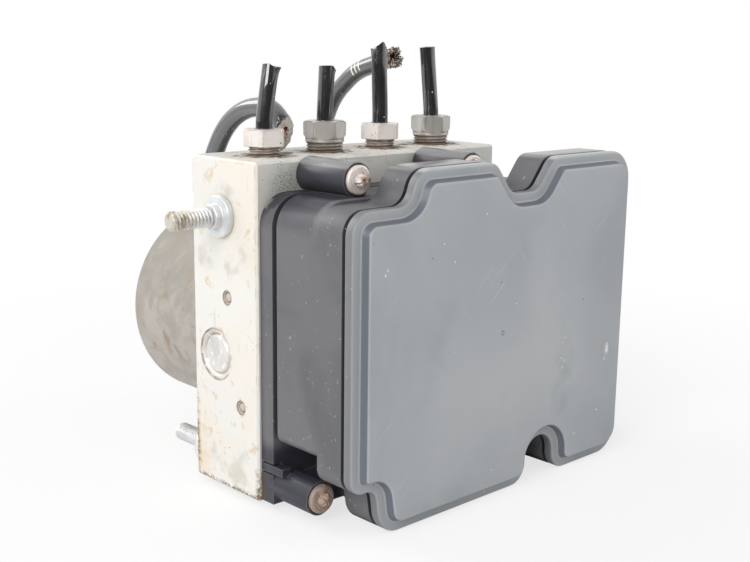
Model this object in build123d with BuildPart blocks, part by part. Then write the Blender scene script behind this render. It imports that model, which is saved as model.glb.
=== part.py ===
"""Anti-lock brake modulator: valve block, pump motor, control unit, pipe stubs."""
from build123d import *
import os
from math import cos, radians, sin

os.makedirs("parts", exist_ok=True)

# Frame: X across the block, -Y towards the control unit, +Y towards the motor,
# +Z up. The origin is the middle of the valve block's bottom face. Sizes in mm.

# ---------------------------------------------------------------- clearances
thread_gap = 0.05        # radial, between a screwed or pressed piece and its bore
running_gap = 0.03       # radial, between a sliding or turning piece and its bore
seat_gap = 0.3           # between faces that come together but never rub
fit_gap = 0.1            # around pieces that are dropped into a housing

# --------------------------------------------------------------- valve block
block_w = 105.0
block_d = 33.0
block_h = 105.0
block_chamfer = 0.7
front_y = -block_d / 2
rear_y = block_d / 2

# outlet ports on the top face, inlet ports on the rear face
port_pitch = 24.6
port_y = -0.5
port_depth = 12.0
outlet_xs = [port_pitch * step for step in (-1.5, -0.5, 0.5, 1.5)]
inlet_x = 26.25
inlet_z = block_h - 13.6
inlet_xs = [-inlet_x, inlet_x]
passage_r = 1.75
feed_y = 2.0             # the drilled feeds that run down from the top face

# pump: bore along X, eccentric on the motor's axis
motor_x = -2.5
motor_z = 0.41 * block_h - 0.05
pump_y = 4.9
pump_bore_r = 5.5
plug_r = 8.3
plug_t = 6.0
plug_sink = 0.4
plug_rim = 1.1
plug_groove = 0.8
chamber_r = 10.3
chamber_front_y = -1.0
bearing_r = 11.0
bearing_w = 7.0
bush_r = 6.0
bush_w = 9.0

# eight solenoid valves in two rows of four
valve_row_zs = [block_h - 45.0, block_h - 23.0]
valve_r = 4.2
valve_depth = 20.0
valve_spots = [(x, z) for z in valve_row_zs for x in outlet_xs]

# low-pressure accumulators, bored from below
accumulator_offset = 22.5
accumulator_xs = [motor_x - accumulator_offset, motor_x + accumulator_offset]
accumulator_r = 9.0
accumulator_h = 31.0
cap_r = 10.0
cap_t = 2.2
cap_sink = 0.4

# small drillings and their sealing plugs
seal_r = 2.3
seal_t = 4.0
seal_sink = 0.5
high_drilling_z = block_h - 42.8
left_drillings = [(-1.4, high_drilling_z, 14.0), (-7.9, 28.4, 24.0)]
right_drillings = [(-1.4, high_drilling_z, 14.0), (-7.9, 28.4, 30.0)]

# motor lead passage through the block
lead_x = 0.0
lead_z = sum(valve_row_zs) / 2      # between the two rows of valves
lead_r = 4.5
lead_pin_w = 1.0
lead_pin_pitch = 3.6

# ------------------------------------------------------------- control unit
cover_left = -51.2
cover_right = 76.4
cover_bottom = -1.6
cover_top = block_h - 0.1
boss_r = 5.35
boss_l = 21.5
screw_top_z = block_h - 4.4
screw_low_z = 6.2
screw_a = (-32.1, screw_top_z)
screw_b = (17.2, screw_top_z)
screw_c = (-45.9, screw_low_z)
screw_d = (33.3, screw_low_z)
screw_spots = [screw_a, screw_b, screw_c, screw_d]
screw_r = 2.45
screw_hole_r = 2.75
screw_depth = 9.0
head_r = 4.45
head_t = 1.8
head_sink = 0.4
boss_recess_r = 4.9

flange_t = 5.7
groove_w = 2.2
groove_depth = 2.0
core_right = 49.5
core_top = block_h - 9.2
core_bottom = 20.8
core_corner_r = 9.5
slab_y = -42.75          # rear face of the wide front part
seam_y = -52.9           # where housing and lid meet
wall = 2.5
board_y = slab_y - wall  # the circuit board lies on the slab's rear wall
board_t = 1.6
seam_gap = 1.05
lid_face_y = -57.3
plateau_h = 2.8
plateau_inset = 3.1
plateau_draft = 1.0
tongue_w = 1.5           # of the rib behind the lid that rests on the housing
lid_skin = 1.5           # wall left between the lid's hollow and its face

notch_floor_z = cover_top - 10.1     # the two upper screw notches
notch_a_foot = 2.7
notch_a_head = 6.1
notch_b_shift = 3.95
notch_b_half = 6.15
notch_b_flare = 8.0
notch_c_rise = 7.2
notch_c_side = 4.5
notch_c_flare = 2.3
notch_d_r = 7.0
notch_d_z = 5.6


def facing_front(y):
    """Work plane at y that looks towards -Y: local x is X and local y is Z."""
    return Plane(origin=(0, y, 0), x_dir=(1, 0, 0), z_dir=(0, -1, 0))


top_face = Plane(origin=(0, 0, block_h), x_dir=(1, 0, 0), z_dir=(0, 0, 1))
bottom_face = Plane(origin=(0, 0, 0), x_dir=(1, 0, 0), z_dir=(0, 0, -1))
front_face = facing_front(front_y)
rear_face = Plane(origin=(0, rear_y, 0), x_dir=(-1, 0, 0), z_dir=(0, 1, 0))
left_face = Plane(origin=(-block_w / 2, 0, 0), x_dir=(0, -1, 0), z_dir=(-1, 0, 0))
right_face = Plane(origin=(block_w / 2, 0, 0), x_dir=(0, 1, 0), z_dir=(1, 0, 0))
side_faces = {"left": left_face, "right": right_face}
side_signs = {"left": -1, "right": 1}


def spots_on(plane, spots):
    """Placements at local (x, y) spots on a work plane."""
    return [plane.location * Location((x, y, 0)) for x, y in spots]


def bore(plane, spots, radius, depth, start=0.0):
    """Cut round holes straight into the face that the plane lies on."""
    with Locations(*spots_on(plane.offset(-start), spots)):
        Cylinder(radius, depth, align=(Align.CENTER, Align.CENTER, Align.MAX), mode=Mode.SUBTRACT)


def turned(points):
    """A turned piece: a closed outline of (radius, height) spun about Z."""
    with BuildPart() as piece:
        with BuildSketch(Plane.XZ):
            with BuildLine():
                Polyline(*points, close=True)
            make_face()
        revolve(axis=Axis.Z)
    return piece.part


def ring(outer, inner, height):
    """A plain ring or sleeve that stands on its work plane."""
    with BuildPart() as piece:
        with BuildSketch():
            Circle(outer)
            Circle(inner, mode=Mode.SUBTRACT)
        extrude(amount=height)
    return piece.part


# studs that carry the unit: one each side, one low on the rear face
stud_r = 3.0
stud_root_r = 3.0
stud_root_l = 9.0
stud_flange_r = 6.5
stud_flange_t = 2.2
stud_neck_r = 3.9
stud_neck_l = 4.6
stud_l = 21.5
side_stud_y = 0.8
side_stud_z = block_h - 17.6
rear_stud_x = -45.7
rear_stud_z = 8.1
stud_places = [
    spots_on(left_face, [(-side_stud_y, side_stud_z)])[0],
    spots_on(right_face, [(side_stud_y, side_stud_z)])[0],
    spots_on(rear_face, [(-rear_stud_x, rear_stud_z)])[0],
]

# flare nuts and their ports, small thread and large thread
small_thread_r = 5.0
large_thread_r = 6.0
nut_across_flats = 12.0
nut_flare_space = 3.0    # depth under the nut that the pipe's flare fills
outlet_thread_rs = [small_thread_r, large_thread_r, small_thread_r, large_thread_r]
outlet_ports = list(zip(outlet_xs, outlet_thread_rs))

# motor can, and the lugs that hold it to the rear face
motor_r = 36.1
motor_head_r = 3.6
head_room = 1.3          # between a motor screw's head and the can
lug_reach = motor_r + head_room + motor_head_r
lug_angles = [90, 210, 330]
motor_screw_r = 1.95
motor_screw_depth = 8.0


def lug_spots(radius):
    """Middle of each motor lug, as global X and Z."""
    return [(motor_x + radius * cos(radians(a)), motor_z + radius * sin(radians(a)))
            for a in lug_angles]


motor_screw_spots = lug_spots(lug_reach)

# ---------------------------------------------------------------- valve block
with BuildPart() as block:
    Box(block_w, block_d, block_h, align=(Align.CENTER, Align.CENTER, Align.MIN))
    chamfer(block.edges(), block_chamfer)
    for port_x, thread_r in outlet_ports:
        bore(top_face, [(port_x, port_y)], thread_r + thread_gap, port_depth)
        bore(top_face, [(port_x, port_y)], passage_r,
             block_h - port_depth - valve_row_zs[-1], port_depth)
    inlet_spots = [(-x, inlet_z) for x in inlet_xs]
    bore(rear_face, inlet_spots, large_thread_r + thread_gap, port_depth)
    bore(rear_face, inlet_spots, passage_r, rear_y - port_depth - feed_y + passage_r, port_depth)
    bore(top_face, [(x, feed_y) for x in inlet_xs], seal_r + thread_gap, block_h - motor_z)
    # valve seats on the front face
    bore(front_face, valve_spots, valve_r + thread_gap, valve_depth)
    bore(front_face, screw_spots, screw_r + thread_gap, screw_depth)
    # pump bores, eccentric chamber and shaft bearings
    for side, face in side_faces.items():
        along = side_signs[side] * pump_y
        bore(face, [(along, motor_z)], plug_r + thread_gap, plug_t + plug_sink)
        bore(face, [(along, motor_z)], pump_bore_r + thread_gap, block_w / 2 + motor_x)
    motor_spot = [(-motor_x, motor_z)]
    bore(rear_face, motor_spot, bearing_r + thread_gap, bearing_w)
    bore(rear_face, motor_spot, chamber_r, rear_y - chamber_front_y - bearing_w, bearing_w)
    bore(rear_face, motor_spot, bush_r + thread_gap, bush_w, rear_y - chamber_front_y)
    bore(rear_face, [(-x, z) for x, z in motor_screw_spots], motor_screw_r + thread_gap,
         motor_screw_depth)
    bore(front_face, [(lead_x, lead_z)], lead_r + fit_gap, block_d)
    # accumulators from below, each with a channel up to the pump bore
    accumulator_spots = [(x, 0) for x in accumulator_xs]
    bore(bottom_face, accumulator_spots, cap_r + thread_gap, cap_t + cap_sink)
    bore(bottom_face, accumulator_spots, accumulator_r + running_gap, accumulator_h)
    bore(bottom_face, [(x, -pump_y) for x in accumulator_xs], passage_r, motor_z)
    # cross drillings, closed by pressed plugs
    for side, drillings in (("left", left_drillings), ("right", right_drillings)):
        for drill_y, drill_z, drill_l in drillings:
            bore(side_faces[side], [(side_signs[side] * drill_y, drill_z)],
                 seal_r + thread_gap, drill_l)
    with Locations(*stud_places):
        Cylinder(stud_root_r + thread_gap, stud_root_l,
                 align=(Align.CENTER, Align.CENTER, Align.MAX), mode=Mode.SUBTRACT)
block.part.label = "hydraulic_block"
export_step(block.part, "parts/hydraulic_block.step")

# pressed plugs in the small drillings
seal_places = spots_on(top_face, [(x, feed_y) for x in inlet_xs])
seal_places += spots_on(left_face, [(-y, z) for y, z, length in left_drillings])
seal_places += spots_on(right_face, [(y, z) for y, z, length in right_drillings])
with BuildPart() as sealing_plugs:
    with Locations(*[place * Location((0, 0, -seal_sink)) for place in seal_places]):
        Cylinder(seal_r, seal_t, align=(Align.CENTER, Align.CENTER, Align.MAX))
sealing_plugs.part.label = "sealing_plugs"
export_step(sealing_plugs.part, "parts/sealing_plugs.step")

# mounting studs: threaded root, flange, neck and threaded end
stud = turned([
    (0, -stud_root_l), (stud_root_r, -stud_root_l), (stud_root_r, 0), (stud_flange_r, 0),
    (stud_flange_r, stud_flange_t), (stud_neck_r, stud_flange_t), (stud_neck_r, stud_neck_l),
    (stud_r, stud_neck_l), (stud_r, stud_l), (0, stud_l),
])
with BuildPart() as mounting_studs:
    with Locations(*stud_places):
        add(stud)
mounting_studs.part.label = "mounting_studs"
export_step(mounting_studs.part, "parts/mounting_studs.step")

# ------------------------------------------------------ flare nuts and pipes
pipe_r = 2.6
pipe_bore_r = 1.6
pipe_flare_r = 3.6
inlet_pipe_r = 3.15
inlet_bore_r = 2.1
inlet_flare_r = 4.4
small_hex_h = 5.2
large_hex_h = 5.6
small_thread_show = 3.0
large_thread_show = 3.1
large_collar_h = 1.2
large_collar_r = 6.3
inlet_thread_show = 2.5
outlet_turns = [48.0, 19.0, 42.0, 22.0]


def flare_nut(thread_r, bore_r, show, hex_h, collar_h=0.0):
    """Hexagon nut with a hollow threaded shank; height 0 is the port's face."""
    shank_low = nut_flare_space - port_depth
    hex_low = show + collar_h
    with BuildPart() as nut:
        with BuildSketch(Plane.XY.offset(hex_low)):
            RegularPolygon(nut_across_flats / 2, 6, major_radius=False)
        extrude(amount=hex_h)
        with Locations((0, 0, shank_low)):
            Cylinder(thread_r, show - shank_low, align=(Align.CENTER, Align.CENTER, Align.MIN))
        if collar_h > 0:
            with Locations((0, 0, show)):
                Cylinder(large_collar_r, collar_h,
                         align=(Align.CENTER, Align.CENTER, Align.MIN))
        with Locations((0, 0, shank_low)):
            Cylinder(bore_r, hex_low + hex_h - shank_low,
                     align=(Align.CENTER, Align.CENTER, Align.MIN), mode=Mode.SUBTRACT)
    return nut.part


small_nut = flare_nut(small_thread_r, pipe_r + thread_gap, small_thread_show, small_hex_h)
large_nut = flare_nut(large_thread_r, pipe_r + thread_gap, large_thread_show, large_hex_h,
                      large_collar_h)
inlet_nut = flare_nut(large_thread_r, inlet_pipe_r + thread_gap, inlet_thread_show, large_hex_h,
                      large_collar_h)


def port_place(index):
    """Placement of an outlet's nut, turned as it was tightened."""
    spot = spots_on(top_face, [(outlet_xs[index], port_y)])[0]
    return spot * Location((0, 0, 0), (0, 0, outlet_turns[index]))


with BuildPart() as small_flare_nuts:
    with Locations(port_place(0), port_place(2)):
        add(small_nut)
small_flare_nuts.part.label = "small_flare_nuts"
export_step(small_flare_nuts.part, "parts/small_flare_nuts.step")

with BuildPart() as large_flare_nuts:
    with Locations(port_place(1), port_place(3)):
        add(large_nut)
large_flare_nuts.part.label = "large_flare_nuts"
export_step(large_flare_nuts.part, "parts/large_flare_nuts.step")

with BuildPart() as inlet_flare_nuts:
    with Locations(*spots_on(rear_face, inlet_spots)):
        add(inlet_nut)
inlet_flare_nuts.part.label = "inlet_flare_nuts"
export_step(inlet_flare_nuts.part, "parts/inlet_flare_nuts.step")


flare_l = nut_flare_space - fit_gap
pipe_start = port_depth - flare_l       # below the face of the port


def pipe(path, outer_r, bore_r, flare_r):
    """Tube along a path, and at its start the flare that its nut clamps in the port."""
    start = Plane(origin=path @ 0, z_dir=path % 0)
    with BuildPart() as tube:
        with BuildSketch(start):
            Circle(outer_r)
            Circle(bore_r, mode=Mode.SUBTRACT)
        sweep(path=path, transition=Transition.RIGHT)
        with Locations(start.offset(-flare_l)):
            add(turned([(bore_r, 0), (flare_r, flare_l), (bore_r, flare_l)]))
    return tube.part


# outlet stubs: height above the block, lean to the right (X) and to the rear (Y)
outlet_stub_h = [27.8, 27.0, 34.0, 33.3]
outlet_lean_x = [2.2, 0.6, -0.9, -2.0]
outlet_lean_y = [-0.8, -0.3, 0.0, 0.5]
outlet_bend_h = 11.5
for index, (port_x, thread_r) in enumerate(outlet_ports):
    with BuildLine() as stub_route:
        Polyline(
            (port_x, port_y, block_h - pipe_start),
            (port_x, port_y, block_h + outlet_bend_h),
            (port_x + outlet_lean_x[index], port_y + outlet_lean_y[index],
             block_h + outlet_stub_h[index]))
    stub = pipe(stub_route.wire(), pipe_r, pipe_bore_r, pipe_flare_r)
    stub.label = f"outlet_pipe_{index + 1}"
    export_step(stub, f"parts/outlet_pipe_{index + 1}.step")

# inlet pipes: out of the rear face, up in one bend, and forward over the block;
# each corner of the route is Y and the height above the port, with its bend radius
inlet_routes = {
    "left": [(47.7, 0.0), (30.9, 25.9), (5.9, 28.4), (2.7, 19.1)],
    "right": [(52.0, 0.0), (38.5, 28.5), (26.9, 38.2), (7.2, 43.4)],
}
inlet_bends = {"left": [7.5, 28.0, 11.0], "right": [9.0, 28.0, 28.0]}
for side, pipe_x in zip(inlet_routes, inlet_xs):
    with BuildLine() as inlet_route:
        FilletPolyline(
            (pipe_x, rear_y - pipe_start, inlet_z),
            *[(pipe_x, y, inlet_z + rise) for y, rise in inlet_routes[side]],
            radius=inlet_bends[side])
    inlet_pipe = pipe(inlet_route.wire(), inlet_pipe_r, inlet_bore_r, inlet_flare_r)
    inlet_pipe.label = f"inlet_pipe_{side}"
    export_step(inlet_pipe, f"parts/inlet_pipe_{side}.step")

# ---------------------------------------------------------------- pump motor
motor_l = 60.0
can_t = 2.0
can_corner = 5.0
lug_r = 5.0
lug_t = 2.0
motor_screw_l = 9.0
motor_head_t = 2.4
tail_boss_r = 9.0
tail_boss_l = 4.0
shaft_r = 4.0
throw = 1.0              # how far the eccentric journal is off the shaft's axis
journal_r = 5.5
journal_w = 9.0
cam_ring_r = 8.5
magnet_t = 5.0
magnet_l = 32.0
magnet_span = 70.0
air_gap = 1.2            # between the magnets and the armature
magnet_outer_r = motor_r - can_t - fit_gap
armature_r = magnet_outer_r - magnet_t - air_gap
armature_l = 26.0
armature_teeth = 12
tooth_slot_w = 3.0
tooth_slot_depth = 9.0
winding_r = armature_r - 2.3
winding_l = 6.0
winding_gap = 2.5        # between the shaft and the end turns
wire_depth = 5.5         # of the wires that fill a slot
commutator_r = 11.0
commutator_l = 9.0
brush_plate_t = 3.0
brush_w = 6.0
brush_h = 8.0

can_rear_y = rear_y + motor_l
plate_rear_y = rear_y + brush_plate_t
commutator_y = plate_rear_y + 2.0
winding_y = commutator_y + commutator_l + 1.0
armature_y = winding_y + winding_l
magnet_y = armature_y + (armature_l - magnet_l) / 2
tail_y = can_rear_y - can_t - tail_boss_l


motor_axis = Axis((motor_x, 0, motor_z), (0, 1, 0))


def on_axis(y):
    """Placement on the motor's axis at y, height running towards the rear."""
    return Location(Plane(origin=(motor_x, y, motor_z), x_dir=(1, 0, 0), z_dir=(0, 1, 0)))


with BuildPart() as motor_can:
    with BuildSketch(facing_front(rear_y)):
        with Locations((motor_x, motor_z)):
            Circle(motor_r)
    extrude(amount=-motor_l)
    fillet(motor_can.faces().sort_by(Axis.Y)[-1].edges(), can_corner)
    with BuildSketch(facing_front(rear_y)):
        with Locations(*motor_screw_spots):
            Circle(lug_r)
        with Locations(*lug_spots(motor_r)):
            Circle(lug_r)
        for lug_angle in lug_angles:
            with Locations(Location((motor_x, motor_z, 0), (0, 0, lug_angle))):
                with Locations(((motor_r + lug_reach) / 2, 0)):
                    Rectangle(lug_reach - motor_r, 2 * lug_r)
    extrude(amount=-lug_t)
    with BuildSketch(facing_front(rear_y)):
        with Locations((motor_x, motor_z)):
            Circle(motor_r - can_t)
    extrude(amount=-(motor_l - can_t), mode=Mode.SUBTRACT)
    with BuildSketch(facing_front(can_rear_y - can_t)):
        with Locations((motor_x, motor_z)):
            Circle(tail_boss_r)
    extrude(amount=tail_boss_l)
    with BuildSketch(facing_front(can_rear_y - can_t)):
        with Locations((motor_x, motor_z)):
            Circle(bush_r + thread_gap)
    extrude(amount=tail_boss_l, mode=Mode.SUBTRACT)
    with BuildSketch(facing_front(rear_y)):
        with Locations(*motor_screw_spots):
            Circle(motor_screw_r + thread_gap)
    extrude(amount=-lug_t, mode=Mode.SUBTRACT)
motor_can.part.label = "motor_can"
export_step(motor_can.part, "parts/motor_can.step")

with BuildPart() as motor_screws:
    with Locations(*spots_on(facing_front(rear_y + lug_t), motor_screw_spots)):
        Cylinder(motor_head_r, motor_head_t, align=(Align.CENTER, Align.CENTER, Align.MAX))
        Cylinder(motor_screw_r, motor_screw_l, align=(Align.CENTER, Align.CENTER, Align.MIN))
motor_screws.part.label = "motor_screws"
export_step(motor_screws.part, "parts/motor_screws.step")

# four magnets bonded inside the can
magnet_count = 4
with BuildPart() as one_magnet:
    with BuildSketch(Plane(on_axis(magnet_y))):
        with BuildLine():
            outer_arc = CenterArc((0, 0), magnet_outer_r, -magnet_span / 2, magnet_span)
            inner_arc = CenterArc((0, 0), magnet_outer_r - magnet_t, -magnet_span / 2,
                                  magnet_span)
            Line(outer_arc @ 0, inner_arc @ 0)
            Line(outer_arc @ 1, inner_arc @ 1)
        make_face()
    extrude(amount=magnet_l)
with BuildPart() as magnets:
    for quarter in range(magnet_count):
        turn = (quarter + 0.5) * 360 / magnet_count
        add(one_magnet.part.rotate(motor_axis, turn))
magnets.part.label = "magnets"
export_step(magnets.part, "parts/magnets.step")

# rotor: shaft with its eccentric journal, steel core, winding, commutator
bush_front_y = chamber_front_y - bush_w
journal_y = pump_y - journal_w / 2
shaft_front_y = bush_front_y + seat_gap
shaft_rear_y = can_rear_y - can_t - seat_gap
with BuildPart() as motor_shaft:
    with Locations(on_axis(shaft_front_y)):
        Cylinder(shaft_r, shaft_rear_y - shaft_front_y,
                 align=(Align.CENTER, Align.CENTER, Align.MIN))
    with Locations(on_axis(journal_y)):
        with Locations((0, -throw, 0)):
            Cylinder(journal_r, journal_w, align=(Align.CENTER, Align.CENTER, Align.MIN))
motor_shaft.part.label = "motor_shaft"
export_step(motor_shaft.part, "parts/motor_shaft.step")

with BuildPart() as cam_ring:
    with Locations(on_axis(journal_y)):
        with Locations((0, -throw, 0)):
            add(ring(cam_ring_r, journal_r + thread_gap, journal_w))
cam_ring.part.label = "eccentric_ring"
export_step(cam_ring.part, "parts/eccentric_ring.step")

with BuildPart() as front_bearing:
    with Locations(on_axis(rear_y - bearing_w)):
        add(ring(bearing_r, shaft_r + running_gap, bearing_w - fit_gap))
front_bearing.part.label = "front_bearing"
export_step(front_bearing.part, "parts/front_bearing.step")

with BuildPart() as shaft_bushes:
    with Locations(on_axis(bush_front_y)):
        add(ring(bush_r, shaft_r + running_gap, bush_w))
    with Locations(on_axis(tail_y)):
        add(ring(bush_r, shaft_r + running_gap, tail_boss_l))
shaft_bushes.part.label = "shaft_bushes"
export_step(shaft_bushes.part, "parts/shaft_bushes.step")

with BuildPart() as armature_core:
    with BuildSketch(facing_front(armature_y)):
        with Locations((motor_x, motor_z)):
            Circle(armature_r)
            with PolarLocations(armature_r - tooth_slot_depth / 2, armature_teeth):
                Rectangle(tooth_slot_depth + 1, tooth_slot_w, mode=Mode.SUBTRACT)
            Circle(shaft_r + thread_gap, mode=Mode.SUBTRACT)
    extrude(amount=-armature_l)
armature_core.part.label = "armature_core"
export_step(armature_core.part, "parts/armature_core.step")

with BuildPart() as armature_winding:
    for end_y in (winding_y, armature_y + armature_l):
        with BuildSketch(Plane(on_axis(end_y))):
            RegularPolygon(winding_r, armature_teeth)
            RegularPolygon(shaft_r + winding_gap, armature_teeth, mode=Mode.SUBTRACT)
        extrude(amount=winding_l)
    with BuildSketch(Plane(on_axis(armature_y))):
        with PolarLocations(winding_r - wire_depth, armature_teeth):
            Rectangle(wire_depth, tooth_slot_w - 2 * fit_gap, align=(Align.MIN, Align.CENTER))
    extrude(amount=armature_l)
armature_winding.part.label = "armature_winding"
export_step(armature_winding.part, "parts/armature_winding.step")

with BuildPart() as commutator:
    with Locations(on_axis(commutator_y)):
        add(ring(commutator_r, shaft_r + thread_gap, commutator_l))
commutator.part.label = "commutator"
export_step(commutator.part, "parts/commutator.step")

# brush plate closes the can; two sprung brushes ride on the commutator
brush_l = 9.0
brush_inner_r = commutator_r + running_gap
brush_mid_y = commutator_y + commutator_l / 2
brush_guide_w = 1.4      # walls of the brush holders
brush_guide_l = 16.0
brush_guide_start = brush_inner_r + 1.0
brush_stop_reach = brush_guide_start + brush_guide_l
brush_spring_r = 2.2
spring_sides = 8         # springs are plain sleeves with a faceted outline
spring_wire = 0.8
holder_l = brush_mid_y + brush_h / 2 - plate_rear_y + fit_gap
with BuildPart() as brush_plate:
    with BuildSketch(facing_front(rear_y)):
        with Locations((motor_x, motor_z)):
            Circle(motor_r - can_t - fit_gap)
            Circle(bearing_r, mode=Mode.SUBTRACT)
        with Locations((lead_x, lead_z)):
            Rectangle(lead_pin_pitch + lead_pin_w, lead_pin_w, mode=Mode.SUBTRACT)
    extrude(amount=-brush_plate_t)
    # brush holders: a channel each, closed at its outer end
    for side in side_signs.values():
        outwards = Align.MIN if side > 0 else Align.MAX
        with Locations((motor_x + side * brush_guide_start, plate_rear_y, motor_z)):
            Box(brush_guide_l + brush_guide_w, holder_l, brush_w + 2 * (fit_gap + brush_guide_w),
                align=(outwards, Align.MIN, Align.CENTER))
            Box(brush_guide_l, holder_l, brush_w + 2 * fit_gap,
                align=(outwards, Align.MIN, Align.CENTER), mode=Mode.SUBTRACT)
brush_plate.part.label = "brush_plate"
export_step(brush_plate.part, "parts/brush_plate.step")

with BuildPart() as brushes:
    for side in side_signs.values():
        with Locations((motor_x + side * (brush_inner_r + brush_l / 2), brush_mid_y, motor_z)):
            Box(brush_l, brush_h, brush_w)
    with Locations(on_axis(brush_mid_y - brush_h)):
        Cylinder(brush_inner_r, 2 * brush_h, align=(Align.CENTER, Align.CENTER, Align.MIN),
                 mode=Mode.SUBTRACT)
brushes.part.label = "brushes"
export_step(brushes.part, "parts/brushes.step")


def spring_sleeve(radius, length):
    """A compression spring, kept as a plain faceted sleeve."""
    with BuildPart() as sleeve:
        with BuildSketch():
            RegularPolygon(radius, spring_sides)
            RegularPolygon(radius - spring_wire, spring_sides, mode=Mode.SUBTRACT)
        extrude(amount=length)
    return sleeve.part


brush_spring = spring_sleeve(brush_spring_r, brush_stop_reach - brush_inner_r - brush_l)
with BuildPart() as brush_springs:
    for side in side_signs.values():
        with Locations(Plane(
                origin=(motor_x + side * (brush_inner_r + brush_l), brush_mid_y, motor_z),
                z_dir=(side, 0, 0))):
            add(brush_spring)
brush_springs.part.label = "brush_springs"
export_step(brush_springs.part, "parts/brush_springs.step")

# lead carrier: plastic stalk through the block with two contact pins in it
lead_spots = [(lead_x + side * lead_pin_pitch / 2, lead_z) for side in side_signs.values()]
with BuildPart() as lead_carrier:
    with Locations(*spots_on(facing_front(rear_y), [(lead_x, lead_z)])):
        Cylinder(lead_r, block_d, align=(Align.CENTER, Align.CENTER, Align.MIN))
    with Locations(*spots_on(facing_front(rear_y), lead_spots)):
        Box(lead_pin_w, lead_pin_w, block_d, align=(Align.CENTER, Align.CENTER, Align.MIN),
            mode=Mode.SUBTRACT)
lead_carrier.part.label = "motor_lead_carrier"
export_step(lead_carrier.part, "parts/motor_lead_carrier.step")

with BuildPart() as lead_pins:
    with Locations(*spots_on(facing_front(plate_rear_y), lead_spots)):
        Box(lead_pin_w, lead_pin_w, plate_rear_y - board_y,
            align=(Align.CENTER, Align.CENTER, Align.MIN))
lead_pins.part.label = "motor_lead_pins"
export_step(lead_pins.part, "parts/motor_lead_pins.step")

# --------------------------------------------------------------- pump halves
piston_r = 4.0
piston_l = 14.0
piston_reach = cam_ring_r + throw + running_gap
pump_stroke = 2 * throw
pump_spring_r = 3.6
face_reach = {"left": block_w / 2 + motor_x, "right": block_w / 2 - motor_x}
sleeve_start = bearing_r + seat_gap


def pump_place(side, reach):
    """Placement on the pump bore, height running outwards from the motor axis."""
    sign = side_signs[side]
    return Location(Plane(origin=(motor_x + sign * reach, pump_y, motor_z),
                          x_dir=(0, sign, 0), z_dir=(sign, 0, 0)))


for side in side_signs:
    plug_inner = face_reach[side] - plug_sink - plug_t
    with BuildPart() as piston:
        with Locations(pump_place(side, piston_reach)):
            Cylinder(piston_r, piston_l, align=(Align.CENTER, Align.CENTER, Align.MIN))
    piston.part.label = f"pump_piston_{side}"
    export_step(piston.part, f"parts/pump_piston_{side}.step")
    with BuildPart() as pump_spring:
        with Locations(pump_place(side, piston_reach + piston_l + pump_stroke + running_gap)):
            add(spring_sleeve(pump_spring_r, plug_inner - piston_reach - piston_l
                              - pump_stroke - running_gap))
    pump_spring.part.label = f"pump_spring_{side}"
    export_step(pump_spring.part, f"parts/pump_spring_{side}.step")

with BuildPart() as pump_sleeves:
    for side in side_signs:
        with Locations(pump_place(side, sleeve_start)):
            add(ring(pump_bore_r, piston_r + running_gap,
                     face_reach[side] - plug_sink - plug_t - sleeve_start))
pump_sleeves.part.label = "pump_sleeves"
export_step(pump_sleeves.part, "parts/pump_sleeves.step")

with BuildPart() as pump_plugs:
    for side in side_signs:
        with Locations(pump_place(side, face_reach[side] - plug_sink - plug_t)):
            add(turned([
                (0, 0), (plug_r, 0), (plug_r, plug_t), (plug_r - plug_rim, plug_t),
                (plug_r - plug_rim - plug_groove, plug_t - plug_groove),
                (plug_r - plug_rim - 2 * plug_groove, plug_t), (0, plug_t),
            ]))
pump_plugs.part.label = "pump_plugs"
export_step(pump_plugs.part, "parts/pump_plugs.step")

# ------------------------------------------------------------- accumulators
accumulator_piston_l = 9.0
accumulator_wall = 1.6
accumulator_top_gap = 0.5
cap_top_z = cap_sink + cap_t
for side, cap_x in zip(side_signs, accumulator_xs):
    piston_low = accumulator_h - accumulator_top_gap - accumulator_piston_l
    piston_roof = piston_low + accumulator_piston_l - accumulator_wall
    with BuildPart() as accumulator_piston:
        with Locations((cap_x, 0, piston_low)):
            Cylinder(accumulator_r, accumulator_piston_l,
                     align=(Align.CENTER, Align.CENTER, Align.MIN))
            Cylinder(accumulator_r - accumulator_wall, accumulator_piston_l - accumulator_wall,
                     align=(Align.CENTER, Align.CENTER, Align.MIN), mode=Mode.SUBTRACT)
    accumulator_piston.part.label = f"accumulator_piston_{side}"
    export_step(accumulator_piston.part, f"parts/accumulator_piston_{side}.step")
    with BuildPart() as accumulator_spring:
        with Locations((cap_x, 0, cap_top_z)):
            add(spring_sleeve(accumulator_r - accumulator_wall - seat_gap,
                              piston_roof - cap_top_z - fit_gap))
    accumulator_spring.part.label = f"accumulator_spring_{side}"
    export_step(accumulator_spring.part, f"parts/accumulator_spring_{side}.step")

with BuildPart() as accumulator_caps:
    with Locations(*[(x, 0, cap_sink) for x in accumulator_xs]):
        Cylinder(cap_r, cap_t, align=(Align.CENTER, Align.CENTER, Align.MIN))
accumulator_caps.part.label = "accumulator_caps"
export_step(accumulator_caps.part, "parts/accumulator_caps.step")

# ---------------------------------------------------------- solenoid valves
dome_wall = 0.4
valve_sides = 8          # flats along the sleeve's cavity and its armature
dome_front_y = -38.5
dome_bore_r = valve_r - dome_wall
core_neck_y = -24.0      # front end of the solid part, where the armature pulls in
valve_lift = 0.3
valve_armature_l = 11.0
valve_spring_r = 1.8
coil_w = 15.6
coil_h = 16.4
coil_start_y = -23.0
coil_l = 14.0
coil_pin_w = 0.8
coil_pin_offset = 5.0


def at_valves(y):
    """Placements on all valve axes at y, height running to the front."""
    return spots_on(facing_front(y), valve_spots)


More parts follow.
